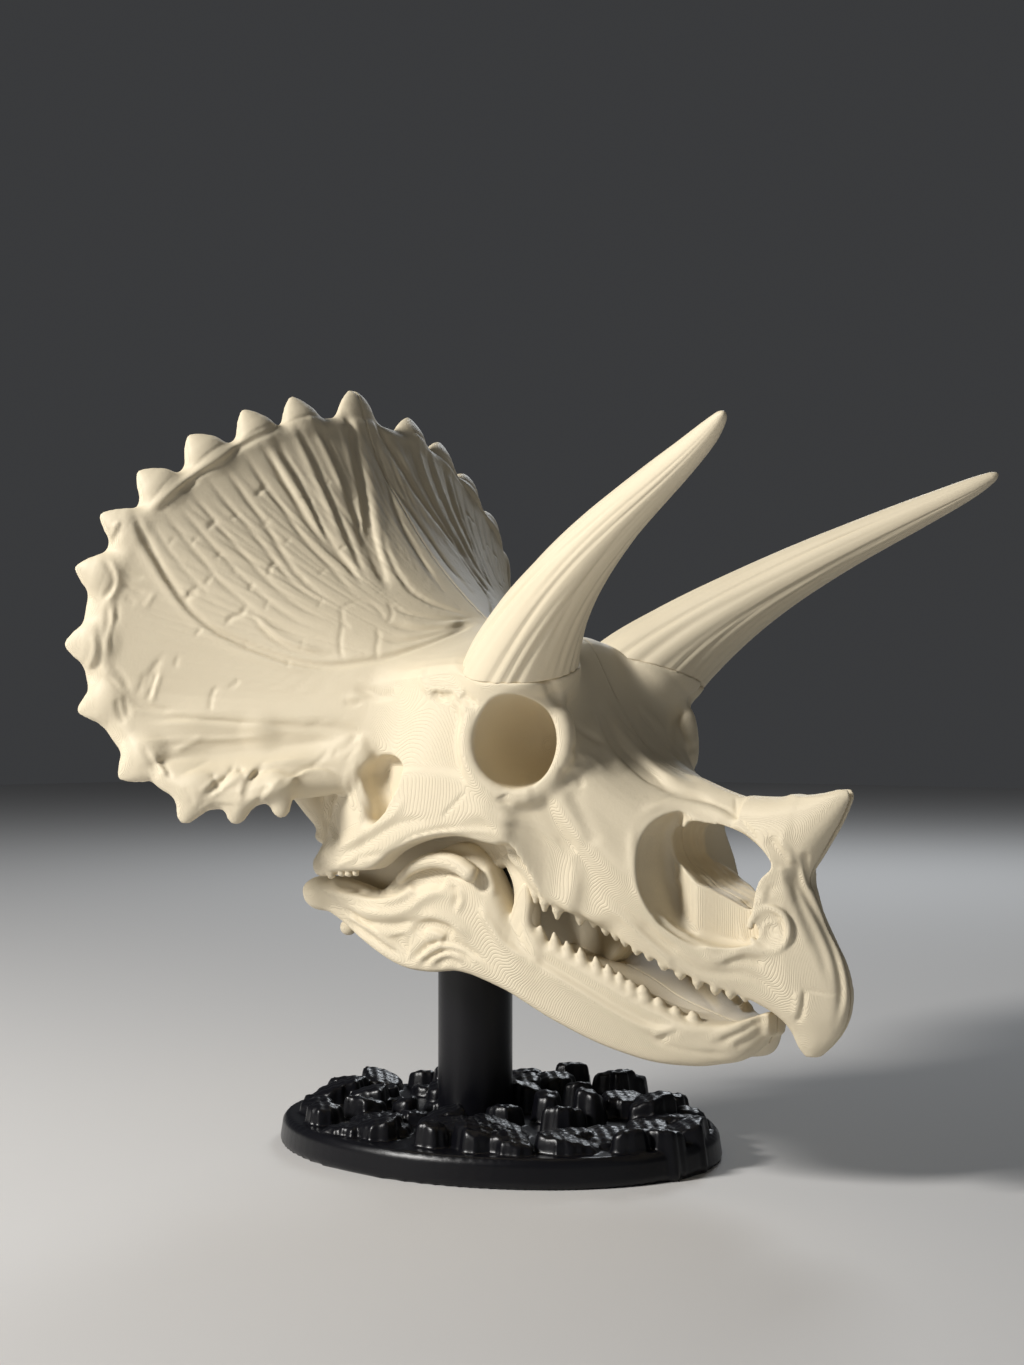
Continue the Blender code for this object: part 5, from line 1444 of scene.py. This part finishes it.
    def teeth(self, grid: Grid) -> None:
        """Stand the upper teeth along the jaw's edge.

        Args:
            grid: The grid to fill.
        """
        tips = ((44.6, 88.0), (48.2, 85.6), (51.6, 83.2), (56.8, 81.3), (60.9, 80.7), (65.3, 78.5), (69.5, 77.2),
                (73.3, 75.6), (77.6, 73.2), (81.6, 71.6), (85.7, 69.2), (91.0, 66.3), (96.0, 63.6), (101.1, 62.1),
                (105.3, 61.0), (109.3, 60.4))
        for x, z in tips:
            side = min(float(self.edge_side(x)) - 2.3, 31.5)
            root = np.array((x + 0.3, side, min(max(float(self.edge_height(x)), z + 3.0), z + 5.0) + 0.6))
            tip = np.array((x, side + 0.2, z + 0.5))
            grid.add(Rope(np.array((root, (root + tip) / 2, tip)), np.array((2.3, 1.85, 0.85))), 0.7)


@dataclass
class BrowHorn:
    """Brow horn, a piece of its own on a flat seat."""

    curve: tuple[Triple, ...] = ((38.1, 31.5, 160), (71.6, 56.5, 198.6), (130.8, 68.3, 214.6), (150, 78.8, 227.3))
    radius: Run = Run((-0.05, 20.0), (0, 19.2), (0.12, 15.5), (0.25, 12), (0.5, 7.6), (0.75, 4.8), (0.93, 2.6),
                      (1, 1.2))
    grooves: int = 34
    seed: int = 5
    cap: float = 0.03

    def middle(self, t: Array) -> Array:
        """Points of the middle line.

        Args:
            t: Fractions of the length.

        Returns:
            Points in millimetres.
        """
        a, b, c, d = (np.array(p, float) for p in self.curve)
        t = np.asarray(t, float)[..., None]
        return a * (1 - t) ** 3 + b * 3 * t * (1 - t) ** 2 + c * 3 * t * t * (1 - t) + d * t**3

    def foot(self) -> Rope:
        """The root of the horn, as it stands on the head."""
        t = np.linspace(-0.02, 0.30, 9)
        return Rope(self.middle(t), self.radius(t))

    def skin(self) -> Skin:
        """Fluted surface with a rounded tip.

        Returns:
            The surface from below the seat to the tip.
        """
        shaft = 1 - self.cap
        along = np.concatenate((np.linspace(-0.06, shaft, 230), 1 - self.cap * np.cos(np.linspace(0.1, np.pi / 2, 14))))
        turn = np.linspace(0, 2 * np.pi, 120, endpoint=False)
        middle = self.middle(along)
        ahead = self.middle(along + 0.004) - self.middle(along - 0.004)
        ahead /= np.linalg.norm(ahead, axis=1, keepdims=True)
        across = np.cross(ahead, (0, 0, 1))
        across /= np.linalg.norm(across, axis=1, keepdims=True)
        up = np.cross(across, ahead)
        radius = self.radius(along)
        radius = radius * np.sqrt(np.clip(1 - ((along - shaft) / (self.cap + 1e-4)).clip(0, 1) ** 2, 0, 1))
        flutes = self.flutes(along[:, None], turn[None, :])
        size = radius[:, None] * (1 + flutes)
        ring = across[:, None, :] * np.cos(turn)[None, :, None] + up[:, None, :] * np.sin(turn)[None, :, None]
        verts = (middle[:, None, :] + ring * size[..., None]).reshape(-1, 3)
        rows, cols = len(along), len(turn)
        i, j = np.meshgrid(np.arange(rows - 1), np.arange(cols), indexing="ij")
        k = (j + 1) % cols
        faces = np.stack((i * cols + j, (i + 1) * cols + j, (i + 1) * cols + k, i * cols + k), axis=-1).reshape(-1, 4)
        return Skin(verts, faces, np.zeros_like(verts))

    def flutes(self, along: Array, turn: Array) -> Array:
        """Depth of the grooves that run along the horn, as a share of its radius.

        Args:
            along: Fractions of the length.
            turn: Angles round the horn.

        Returns:
            Shares of the radius.
        """
        draw = np.random.default_rng(self.seed)
        depth = np.zeros(np.broadcast(along, turn).shape)
        for i in range(self.grooves):
            place = 2 * math.pi * (i + draw.uniform(-0.3, 0.3)) / self.grooves
            start, end = draw.uniform(-0.3, 0.25), draw.uniform(0.35, 1.1)
            wide = draw.uniform(0.04, 0.09)
            deep = draw.uniform(0.012, 0.055)
            drift = draw.uniform(-0.5, 0.5)
            gap = np.angle(np.exp(1j * (turn - place - drift * along - 0.04 * np.sin(9 * along + i))))
            fade = np.clip((along - start) / 0.15, 0, 1) * np.clip((end - along) / 0.25, 0, 1)
            depth -= deep * fade * np.exp(-(gap / wide) ** 2)
        return depth


# --------------------------------------------------------------------------------------------- jaw
@dataclass
class Jaw:
    """Lower jaw: a bar with a joint knob behind, a hollow behind the tooth row and a scoop at the chin."""

    top: Run = Run((-49, 90), (-40, 92.5), (-28, 90.5), (-16, 89), (-7, 96), (5, 101.5), (13.5, 104.5), (21, 103.5),
                   (29, 95.5), (35, 80.5), (50, 74.5), (70, 65), (85, 57), (96, 53), (106, 53.5), (114, 57))
    bottom: Run = Run((-49, 84.5), (-34, 78.2), (-24, 72.2), (-7, 64.8), (5, 64), (14, 65), (30, 61), (50, 51.5),
                      (70, 43.5), (85, 40), (100, 40.5), (110, 44.5), (114, 50))
    side: Run = Run((-49, 45), (-10, 43), (40, 35), (60, 30), (80, 23.5), (100, 15.5), (110, 9.5), (114, 5))
    thickness: Run = Run((-49, 11), (20, 13), (70, 13), (88, 18), (98, 30), (114, 30))
    back: float = -49
    front: float = 115

    def bar(self) -> Loft:
        """Body of the jaw, as upright cross-sections along X.

        Returns:
            The bar.
        """
        places = np.linspace(self.back, self.front, 84)
        rings = []
        for x in places:
            top, low, out = (float(run(x)) for run in (self.top, self.bottom, self.side))
            inner = max(out - float(self.thickness(x)), -2)
            tall = top - low
            ring = [(out * 0.93, top), (out, low + tall * 0.68), (out * 0.97, low + tall * 0.30),
                    (out * 0.80 + inner * 0.20, low), (out * 0.30 + inner * 0.70, low + tall * 0.04),
                    (inner, low + tall * 0.30), (inner, low + tall * 0.72), (inner * 0.65 + out * 0.32, top)]
            rings.append(closed_curve(ring, 48))
        return Loft(0, places, np.array(rings))

    def mouth_floor(self) -> Loft:
        """Floor between the two halves of the jaw, as upright cross-sections along X.

        Returns:
            The floor.
        """
        crest = Run((36, 73), (54, 67.5), (66, 63.5), (78, 58), (90, 54.5), (101, 52), (112, 52))
        places = np.linspace(37, 112, 40)
        rings = []
        for x in places:
            out, top = float(self.side(x)) - 3.5, float(crest(x))
            edge = max(float(self.top(x)) - 2.5, float(self.bottom(x)) + 3)
            ring = [(0, top), (out * 0.5, top * 0.6 + edge * 0.4), (out, edge), (out, edge - 3), (out * 0.5, edge - 4),
                    (0, top - 6), (-out * 0.5, edge - 4), (-out, edge - 3), (-out, edge),
                    (-out * 0.5, top * 0.6 + edge * 0.4)]
            rings.append(closed_curve(ring, 40))
        return Loft(0, places, np.array(rings))

    def joint(self, grid: Grid) -> None:
        """Build the joint end: the knob behind, the rolled bar on top and the hollow before it.

        Args:
            grid: The grid to fill.
        """
        grid.add(ball((-44.8, 41.5, 86.8), (6.2, 4.8, 5.6)), 3.0)
        grid.add(ball((-35.5, 37.0, 75.3), (3.2, 2.6, 2.8)), 1.5)
        grid.add(rope(((-6, 40.5, 94), (0, 41.2, 97.4), (7, 41.2, 100), (14, 41.0, 100.6), (20, 40.6, 99.3),
                       (24.0, 40.2, 96.8)), (2.2, 2.6, 2.9, 2.9, 2.9, 3.0)), 1.3)
        grid.cut(ball((36.5, 41.0, 86.5), (4.6, 6.0, 6.6)), 1.6)
        grid.cut(rope(((38.0, 40.5, 82.5), (41.5, 39.0, 77.5), (46.5, 36.8, 73.2), (52.0, 35.0, 70.4)),
                      (2.6, 2.2, 1.7, 0.9)), 1.2)

    def shape(self, grid: Grid) -> None:
        """Build the jaw in a grid.

        Args:
            grid: The grid to fill.
        """
        grid.add(self.bar())
        grid.add(self.mouth_floor(), 1.5)
        self.joint(grid)
        tips = ((40.8, 82.5), (45.1, 80.9), (49.7, 79), (54, 76.5), (58.5, 74.6), (63.5, 72.1), (67.4, 69.9),
                (71.1, 67.7), (74.4, 64.6), (78.3, 63.3), (83.1, 59.7), (88.2, 57.3), (93.4, 56.1))
        for n, (x, z) in enumerate(tips):
            side = float(self.side(x)) - 4.2
            root = np.array((x + 0.6, side, min(float(self.top(x)), z - 2.6) - 1.2))
            tip = np.array((x, side + 0.2, z - 0.6))
            foot, neck, blunt = (2.45, 1.6, 0.62) if n < 8 else (2.9, 2.15, 1.25)
            grid.add(Rope(np.array((root, (root * 0.45 + tip * 0.55), tip)), np.array((foot, neck, blunt))), 0.8)
        web = ((33, 70), (33.5, 80), (36, 88), (39.5, 94), (42.5, 94.5), (43.3, 88), (42.8, 81), (46, 76), (46, 68))
        grid.add(slab(web, 50, 31.0, 5.0, 2.0), 2.5)
        grid.brush(JAW_STROKES)


# ------------------------------------------------------------------------------------------- stand
@dataclass
class Boulder(Shape):
    """Upright lump with wrinkled, nearly vertical sides and a rough top."""

    centre: Pair
    radius: float
    top: float
    lobes: Array
    tilt: Pair

    def box(self) -> Box:
        """Lowest and highest corner.

        Returns:
            Both corners.
        """
        reach = self.radius * 1.5
        return (np.array((self.centre[0] - reach, self.centre[1] - reach, 3.0)),
                np.array((self.centre[0] + reach, self.centre[1] + reach, self.top + 4)))

    def distance(self, *rows: Array) -> Array:
        """Distance to the lump.

        Args:
            rows: Coordinates along X, away from the midline and along Z.

        Returns:
            A block of signed distances.
        """
        x, s, z = rows
        across, along = (x - self.centre[0])[:, None], (s - self.centre[1])[None]
        turn, reach = np.arctan2(along, across), np.hypot(across, along)
        edge = np.ones_like(turn)
        for count, share, start in self.lobes:
            edge += share * np.cos(count * turn + start)
        side = (reach - self.radius * edge) * 0.92
        lid = self.top + self.tilt[0] * across + self.tilt[1] * along
        lid = lid + 0.55 * np.cos(across * 1.1 + self.top) * np.cos(along * 1.3) - 0.9 * (reach / self.radius) ** 2
        lean = 0.16 * (z[None, None] - 9)
        return np.maximum(soft_max(side[..., None] + lean, z[None, None] - lid[..., None], 1.1), -z[None, None])


@dataclass
class Stand:
    """Black stand: an oval base with a floor of rocks, and a round post."""

    half_length: float = 80.0
    half_width: float = 62.1
    turn: float = math.radians(12.1)
    height: float = 9.5
    post_centre: Pair = (-10.0, 0.0)
    post_radius: float = 13.0
    post_top: float = 113.0
    post_foot: float = 5.0
    facets: int = 96
    seed: int = 7
    rings: tuple[tuple[float, int, float, float], ...] = (
        (0.84, 24, 8.0, 7.5), (0.66, 17, 8.5, 8.5), (0.46, 12, 8.0, 9.0), (0.24, 6, 7.5, 7.0))

    def base(self) -> Skin:
        """Surface of the base with its rocks.

        Returns:
            The surface.
        """
        grid = Grid((-82, -66, -1.4), (82, 66, 30), 0.75)
        turn = np.linspace(0, 2 * np.pi, self.facets, endpoint=False)
        oval = np.stack((self.half_length * np.cos(turn), self.half_width * np.sin(turn)), axis=1)
        spin = np.array(((math.cos(self.turn), math.sin(self.turn)), (-math.sin(self.turn), math.cos(self.turn))))
        places = np.array((0.0, 0.8, self.height - 1.2, self.height))
        scales = np.array((0.992, 1.0, 0.985, 0.965))
        grid.add(Loft(2, places, np.array([oval @ spin * scale for scale in scales])))
        draw = np.random.default_rng(self.seed)
        for share, count, size, rise in self.rings:
            for i in range(count):
                angle = 2 * math.pi * (i + draw.uniform(-0.3, 0.3)) / count
                radius = size * draw.uniform(0.65, 1.25)
                reach = min(share + draw.uniform(-0.05, 0.05), 0.985 - 0.85 * radius / self.half_length)
                centre = np.array((self.half_length * reach * math.cos(angle),
                                   self.half_width * reach * math.sin(angle))) @ spin
                high = self.height + rise * draw.uniform(0.35, 1.25) * (1 + 0.25 * math.sin(angle + 0.6))
                lobes = np.stack((np.array((2, 3, 5, 9, 14, 19)),
                                  np.array((0.10, 0.09, 0.06, 0.045, 0.03, 0.02)) * draw.uniform(0.4, 1.3, 6),
                                  draw.uniform(0, 6.28, 6)), axis=1)
                tilt = tuple(draw.uniform(-0.28, 0.28, 2))
                grid.add(Boulder(tuple(centre), radius, high, lobes, tilt), 0.5)
        skin = Skin.of(grid)
        skin.verts[:, 2] = np.maximum(skin.verts[:, 2], 0)
        return skin

    def post(self) -> bmesh.types.BMesh:
        """Round post with a softened foot and top edge.

        Returns:
            The mesh in metres.
        """
        foot = self.post_foot
        profile = ((0.0, foot), (self.post_radius - 0.6, foot), (self.post_radius, foot + 0.6),
                   *[(self.post_radius, z) for z in np.linspace(foot + 3, self.post_top - 1.5, 40)],
                   (self.post_radius - 0.2, self.post_top - 0.5), (self.post_radius - 0.8, self.post_top),
                   (0.0, self.post_top))
        bm = bmesh.new()
        rows = []
        for radius, z in profile:
            if radius == 0.0:
                rows.append([bm.verts.new((self.post_centre[0] * MM, 0, z * MM))])
                continue
            rows.append([bm.verts.new(((self.post_centre[0] + radius * math.cos(a)) * MM, radius * math.sin(a) * MM,
                                       z * MM)) for a in np.linspace(0, 2 * np.pi, self.facets, endpoint=False)])
        for low, high in zip(rows, rows[1:]):
            for i in range(self.facets):
                j = (i + 1) % self.facets
                if len(low) == 1:
                    bm.faces.new((low[0], high[j], high[i]))
                elif len(high) == 1:
                    bm.faces.new((low[i], low[j], high[0]))
                else:
                    bm.faces.new((low[i], low[j], high[j], high[i]))
        return bm


# ---------------------------------------------------------------------------------------- finishes
def node_group(name: str, inputs: Sequence[tuple[str, str, object]],
               outputs: Sequence[tuple[str, str]]) -> bpy.types.NodeTree:
    """Empty shader group with named sockets.

    Args:
        name: The group's name.
        inputs: Name, socket type and starting value of each input.
        outputs: Name and socket type of each output.

    Returns:
        The group, with its input and output nodes.
    """
    tree = bpy.data.node_groups.new(name, "ShaderNodeTree")
    for label, kind, value in inputs:
        socket = tree.interface.new_socket(label, in_out="INPUT", socket_type=kind)
        socket.default_value = value
    for label, kind in outputs:
        tree.interface.new_socket(label, in_out="OUTPUT", socket_type=kind)
    tree.nodes.new("NodeGroupInput")
    tree.nodes.new("NodeGroupOutput")
    return tree


def math_node(tree: bpy.types.NodeTree, operation: str, *values: object) -> bpy.types.NodeSocket:
    """Math node fed by numbers and sockets.

    Args:
        tree: Tree that holds it.
        operation: What it does.
        values: Numbers or sockets, in order.

    Returns:
        Its result.
    """
    node = tree.nodes.new("ShaderNodeMath")
    node.operation = operation
    for socket, value in zip(node.inputs, values):
        if isinstance(value, bpy.types.NodeSocket):
            tree.links.new(value, socket)
        else:
            socket.default_value = value
    return node.outputs[0]


class LayerLines:
    """Group: the contour lines that thin printed layers leave where the surface lies almost along them."""

    NAME = "layer_lines"
    SWAY_SCALE = 260
    LINE_EDGE = (0.02, 0.26)
    FACING_LIMITS = (0.86, 0.965)

    @classmethod
    def build(cls) -> bpy.types.NodeTree:
        """Make the group.

        Returns:
            The group, which puts out the height of the lines and a mask of where they show.
        """
        tree = node_group(cls.NAME, [("Direction", "NodeSocketVector", (0, 1, 0)), ("Layer", "NodeSocketFloat", 0.0002),
                                     ("Wander", "NodeSocketFloat", 0.5)],
                          [("Height", "NodeSocketFloat"), ("Mask", "NodeSocketFloat")])
        given, out, link = tree.nodes["Group Input"], tree.nodes["Group Output"], tree.links.new
        place = tree.nodes.new("ShaderNodeTexCoord")
        solid = tree.nodes.new("ShaderNodeNewGeometry")
        rise = tree.nodes.new("ShaderNodeVectorMath")
        rise.operation = "DOT_PRODUCT"
        link(place.outputs["Object"], rise.inputs[0])
        link(given.outputs["Direction"], rise.inputs[1])
        facing = tree.nodes.new("ShaderNodeVectorMath")
        facing.operation = "DOT_PRODUCT"
        link(solid.outputs["Normal"], facing.inputs[0])
        link(given.outputs["Direction"], facing.inputs[1])
        noise = tree.nodes.new("ShaderNodeTexNoise")
        noise.inputs["Scale"].default_value = cls.SWAY_SCALE
        noise.inputs["Detail"].default_value = 2
        link(place.outputs["Object"], noise.inputs["Vector"])
        sway = math_node(tree, "MULTIPLY", math_node(tree, "SUBTRACT", noise.outputs[0], 0.5), given.outputs["Wander"])
        turns = math_node(tree, "ADD", math_node(tree, "DIVIDE", rise.outputs["Value"], given.outputs["Layer"]), sway)
        wave = math_node(tree, "PINGPONG", turns, 0.5)
        flat = math_node(tree, "ABSOLUTE", facing.outputs["Value"])
        for value, limits, label in ((wave, cls.LINE_EDGE, "Height"), (flat, cls.FACING_LIMITS, "Mask")):
            step = tree.nodes.new("ShaderNodeMapRange")
            step.interpolation_type = "SMOOTHSTEP"
            step.inputs["From Min"].default_value, step.inputs["From Max"].default_value = limits
            link(value, step.inputs["Value"])
            link(step.outputs["Result"], out.inputs[label])
        return tree


class FilamentTone:
    """Group: slow changes of tone and fine grain of printed plastic."""

    NAME = "filament_tone"
    GRAIN_SCALE = 900

    @classmethod
    def build(cls) -> bpy.types.NodeTree:
        """Make the group.

        Returns:
            The group, which puts out a tinted colour and a grain height.
        """
        tree = node_group(cls.NAME, [("Colour", "NodeSocketColor", (1, 1, 1, 1)),
                                     ("Dark", "NodeSocketColor", (0.5, 0.5, 0.5, 1)),
                                     ("Amount", "NodeSocketFloat", 0.3), ("Scale", "NodeSocketFloat", 40.0)],
                          [("Colour", "NodeSocketColor"), ("Grain", "NodeSocketFloat")])
        given, out, link = tree.nodes["Group Input"], tree.nodes["Group Output"], tree.links.new
        place = tree.nodes.new("ShaderNodeTexCoord")
        slow = tree.nodes.new("ShaderNodeTexNoise")
        slow.inputs["Detail"].default_value = 5
        link(place.outputs["Object"], slow.inputs["Vector"])
        link(given.outputs["Scale"], slow.inputs["Scale"])
        share = math_node(tree, "MULTIPLY", slow.outputs[0], given.outputs["Amount"])
        mix = tree.nodes.new("ShaderNodeMix")
        mix.data_type = "RGBA"
        link(share, mix.inputs["Factor"])
        link(given.outputs["Colour"], mix.inputs["A"])
        link(given.outputs["Dark"], mix.inputs["B"])
        fine = tree.nodes.new("ShaderNodeTexNoise")
        fine.inputs["Scale"].default_value = cls.GRAIN_SCALE
        fine.inputs["Detail"].default_value = 3
        link(place.outputs["Object"], fine.inputs["Vector"])
        link(mix.outputs["Result"], out.inputs["Colour"])
        link(fine.outputs[0], out.inputs["Grain"])
        return tree


@dataclass(frozen=True)
class PrintedPlastic:
    """Finish of a printed piece."""

    name: str
    colour: Triple
    dark: Triple
    amount: float
    roughness: float
    build_way: Triple
    layer: float
    line_depth: float
    grain_depth: float
    all_round: float
    slot: str
    specular: float = 0.35
    bump_distance: float = 0.001

    def material(self) -> bpy.types.Material:
        """Make the material.

        Returns:
            A material whose lines and grain come from the shared groups.
        """
        made = bpy.data.materials.new(self.name)
        made.use_nodes = True
        tree = made.node_tree
        link = tree.links.new
        shader = tree.nodes["Principled BSDF"]
        lines = tree.nodes.new("ShaderNodeGroup")
        lines.node_tree = bpy.data.node_groups[LayerLines.NAME]
        lines.inputs["Direction"].default_value = self.build_way
        lines.inputs["Layer"].default_value = self.layer
        tone = tree.nodes.new("ShaderNodeGroup")
        tone.node_tree = bpy.data.node_groups[FilamentTone.NAME]
        tone.inputs["Colour"].default_value = (*self.colour, 1)
        tone.inputs["Dark"].default_value = (*self.dark, 1)
        tone.inputs["Amount"].default_value = self.amount
        link(tone.outputs["Colour"], shader.inputs["Base Color"])
        shown = math_node(tree, "MAXIMUM", lines.outputs["Mask"], self.all_round)
        height = math_node(tree, "MULTIPLY", lines.outputs["Height"], shown)
        height = math_node(tree, "MULTIPLY", height, self.line_depth)
        grain = math_node(tree, "MULTIPLY", tone.outputs["Grain"], self.grain_depth)
        bump = tree.nodes.new("ShaderNodeBump")
        bump.inputs["Distance"].default_value = self.bump_distance
        link(math_node(tree, "ADD", height, grain), bump.inputs["Height"])
        link(bump.outputs["Normal"], shader.inputs["Normal"])
        shader.inputs["Roughness"].default_value = self.roughness
        shader.inputs["Specular IOR Level"].default_value = self.specular
        return made


BONE = PrintedPlastic("bone_plastic", (0.76, 0.67, 0.50), (0.60, 0.51, 0.35), 0.35, 0.55, (0, 1, 0), 0.00018, 0.10,
                      0.06, 0.10, "bone_plastic")
HORN = PrintedPlastic("bone_plastic_horn", (0.76, 0.67, 0.50), (0.60, 0.51, 0.35), 0.35, 0.55, (0.25, 0, 0.968),
                      0.00022, 0.18, 0.05, 0.0, "bone_plastic")
BLACK = PrintedPlastic("black_plastic", (0.004, 0.004, 0.006), (0.002, 0.002, 0.003), 0.5, 0.3, (0, 0, 1), 0.0003,
                       0.04, 0.04, 0.2, "black_plastic")


# ------------------------------------------------------------------------------------------- stage
@dataclass
class Lamp:
    """A soft round lamp."""

    name: str
    place: Triple
    size: float
    power: float
    colour: Triple


@dataclass
class Studio:
    """Pale floor, soft lamps and the camera."""

    floor_size: float = 8.0
    floor_colour: Triple = (0.62, 0.61, 0.60)
    floor_roughness: float = 0.8
    lamps: tuple[Lamp, ...] = (Lamp("key_lamp", (-0.36, -0.92, 0.70), 0.28, 62, (1.0, 0.98, 0.95)),
                               Lamp("fill_lamp", (1.1, -0.5, 0.5), 1.2, 1.5, (0.86, 0.92, 1.0)),
                               Lamp("back_lamp", (-0.55, 1.15, 0.95), 0.5, 22, (0.9, 0.95, 1.0)))
    sky_colour: Triple = (0.70, 0.72, 0.76)
    sky_strength: float = 0.06
    camera_place: Triple = (0.43332, -0.49044, 0.14228)
    camera_yaw: float = math.radians(41.0)
    camera_pitch: float = math.radians(1.526)
    lens: float = 49.61
    sensor_width: float = 36

    def build(self) -> None:
        """Make the floor, the lamps, the sky and the camera."""
        bpy.ops.mesh.primitive_plane_add(size=self.floor_size)
        floor = bpy.context.object
        floor.name = "studio_floor"
        paint = bpy.data.materials.new("pale_floor")
        paint.use_nodes = True
        shader = paint.node_tree.nodes["Principled BSDF"]
        shader.inputs["Base Color"].default_value = (*self.floor_colour, 1)
        shader.inputs["Roughness"].default_value = self.floor_roughness
        floor.data.materials.append(paint)
        for given in self.lamps:
            lamp = bpy.data.lights.new(given.name, "POINT")
            lamp.shadow_soft_size = given.size / 2
            lamp.energy = given.power
            lamp.color = given.colour
            holder = bpy.data.objects.new(given.name, lamp)
            holder.location = given.place
            bpy.context.scene.collection.objects.link(holder)
        bpy.context.scene.view_settings.view_transform = "Standard"
        sky = bpy.data.worlds.new("studio_sky")
        sky.use_nodes = True
        background = sky.node_tree.nodes["Background"]
        background.inputs["Color"].default_value = (*self.sky_colour, 1)
        background.inputs["Strength"].default_value = self.sky_strength
        bpy.context.scene.world = sky
        self.stand_camera()

    def stand_camera(self) -> None:
        """Stand the camera and make it the scene's own."""
        yaw, pitch = self.camera_yaw, self.camera_pitch
        ahead = Vector((-math.sin(yaw) * math.cos(pitch), math.cos(yaw) * math.cos(pitch), math.sin(pitch)))
        right = ahead.cross(Vector((0, 0, 1))).normalized()
        up = right.cross(ahead)
        data = bpy.data.cameras.new("camera")
        data.lens = self.lens
        data.sensor_width = self.sensor_width
        camera = bpy.data.objects.new("camera", data)
        bpy.context.scene.collection.objects.link(camera)
        turn = Matrix((right, up, -ahead)).transposed().to_4x4()
        camera.matrix_world = Matrix.Translation(self.camera_place) @ turn
        bpy.context.scene.camera = camera


# -------------------------------------------------------------------------------------------- main
FRILL_CUT = ((-6.5, 0, 179), (0.86, -0.30, -0.42))
FACE_CUT = ((64, 0, 130), (0.94, 0, -0.34))
CHEEK_CUT = ((0, 0, 115), (0.16, 0, -0.98))
FAN_CUT = ((-10, 35, 158), (0, 0.44, -0.90))


@dataclass
class SkullModel:
    """The whole printed skull."""

    frill_block: tuple[Triple, Triple, float] = ((-98, -1.5, 81), (20, 117, 274), 0.75)
    head_block: tuple[Triple, Triple, float] = ((-52, -1.5, 42), (144, 62, 184), 0.55)
    jaw_block: tuple[Triple, Triple, float] = ((-52, -1.5, 36), (118, 50, 110), 0.55)
    frill: Frill = field(default_factory=Frill)
    head: Head = field(default_factory=Head)
    horn: BrowHorn = field(default_factory=BrowHorn)
    jaw: Jaw = field(default_factory=Jaw)

    def build(self, bone: bpy.types.Material, horn_bone: bpy.types.Material) -> None:
        """Shape each skin once and place it on both sides.

        Args:
            bone: Finish of the skull and the jaw.
            horn_bone: Finish of the brow horns.
        """
        skull_skins = []
        for block in (self.frill_block, self.head_block):
            grid = Grid(*block)
            self.head.shape(grid, self.frill, self.horn)
            grid.halve(seam_gap)
            skull_skins.append(Skin.of(grid))
        grid = Grid(*self.jaw_block)
        self.jaw.shape(grid)
        grid.halve(seam_gap)
        jaw_skin = Skin.of(grid)
        horn_skin = self.horn.skin()
        for side in Side:
            self.place_side(side, *skull_skins, jaw_skin, horn_skin, bone, horn_bone)

    def place_side(self, side: Side, frill_skin: Skin, head_skin: Skin, jaw_skin: Skin, horn_skin: Skin,
                   bone: bpy.types.Material, horn_bone: bpy.types.Material) -> None:
        """Part the skins into pieces and place them on one side.

        Args:
            side: The side.
            frill_skin: Surface of the frill.
            head_skin: Surface of the head.
            jaw_skin: Surface of the jaw.
            horn_skin: Surface of a brow horn.
            bone: Finish of the skull and the jaw.
            horn_bone: Finish of the brow horns.
        """
        tag = side.name.lower()
        sign = side.value

        def on_side(vector: Triple, scale: float = 1.0) -> Vector:
            """A vector of the half space on this side."""
            return Vector((vector[0], vector[1] * sign, vector[2])) * scale

        def part(bm: bmesh.types.BMesh, cut: tuple[Triple, Triple], keep: int) -> bmesh.types.BMesh:
            """Cut a copy along a plane and keep the part on one side of it.

            Args:
                bm: The mesh.
                cut: A point of the plane and the way that it faces.
                keep: 1 keeps what lies behind the plane, and -1 what lies ahead.

            Returns:
                The part.
            """
            made = bm.copy()
            planar_cut(made, on_side(cut[0], MM), on_side(cut[1]).normalized() * keep)
            return made

        whole = frill_skin.mesh("frill", side)
        bm = part(whole, FRILL_CUT, 1)
        place_piece("frill_fan_skin_" + tag, part(bm, FAN_CUT, 1), bone, ["frill_" + tag])
        place_piece("frill_side_skin_" + tag, part(bm, FAN_CUT, -1), bone, ["frill_" + tag])
        skull = part(head_skin.mesh("head", side), FRILL_CUT, -1)
        back = part(skull, FACE_CUT, 1)
        place_piece("cranium_skin_" + tag, part(back, CHEEK_CUT, 1), bone, ["cranium_" + tag])
        place_piece("cheek_skin_" + tag, part(back, CHEEK_CUT, -1), bone, ["cheek_" + tag])
        place_piece("snout_skin_" + tag, part(skull, FACE_CUT, -1), bone,
                    ["face_" + tag, "nose_horn_" + tag, "beak_" + tag])
        bm = jaw_skin.mesh("jaw", side)
        place_piece("jaw_skin_" + tag, bm, bone, ["jaw_" + tag, "chin_" + tag])
        bm = horn_skin.mesh("horn", side)
        bm.verts.layers.float_vector.remove(bm.verts.layers.float_vector["way"])
        seat = (self.head.horn_seat, tuple(-unit(self.head.horn_seat_way)))
        place_piece("brow_horn_skin_" + tag, part(bm, seat, 1), horn_bone, ["brow_horn_" + tag])


def main() -> None:
    """Build the pieces in order and report each."""
    logging.basicConfig(level=logging.INFO, format="%(name)s: %(message)s")
    LayerLines.build()
    FilamentTone.build()
    SkullModel().build(BONE.material(), HORN.material())
    stand = Stand()
    black = BLACK.material()
    base = stand.base().mesh("base", Side.LEFT)
    place_piece("stand_rocks", base, black, ["stand_base"])
    place_piece("stand_column", stand.post(), black, ["stand_post"])
    Studio().build()


if __name__ == "__main__":
    main()
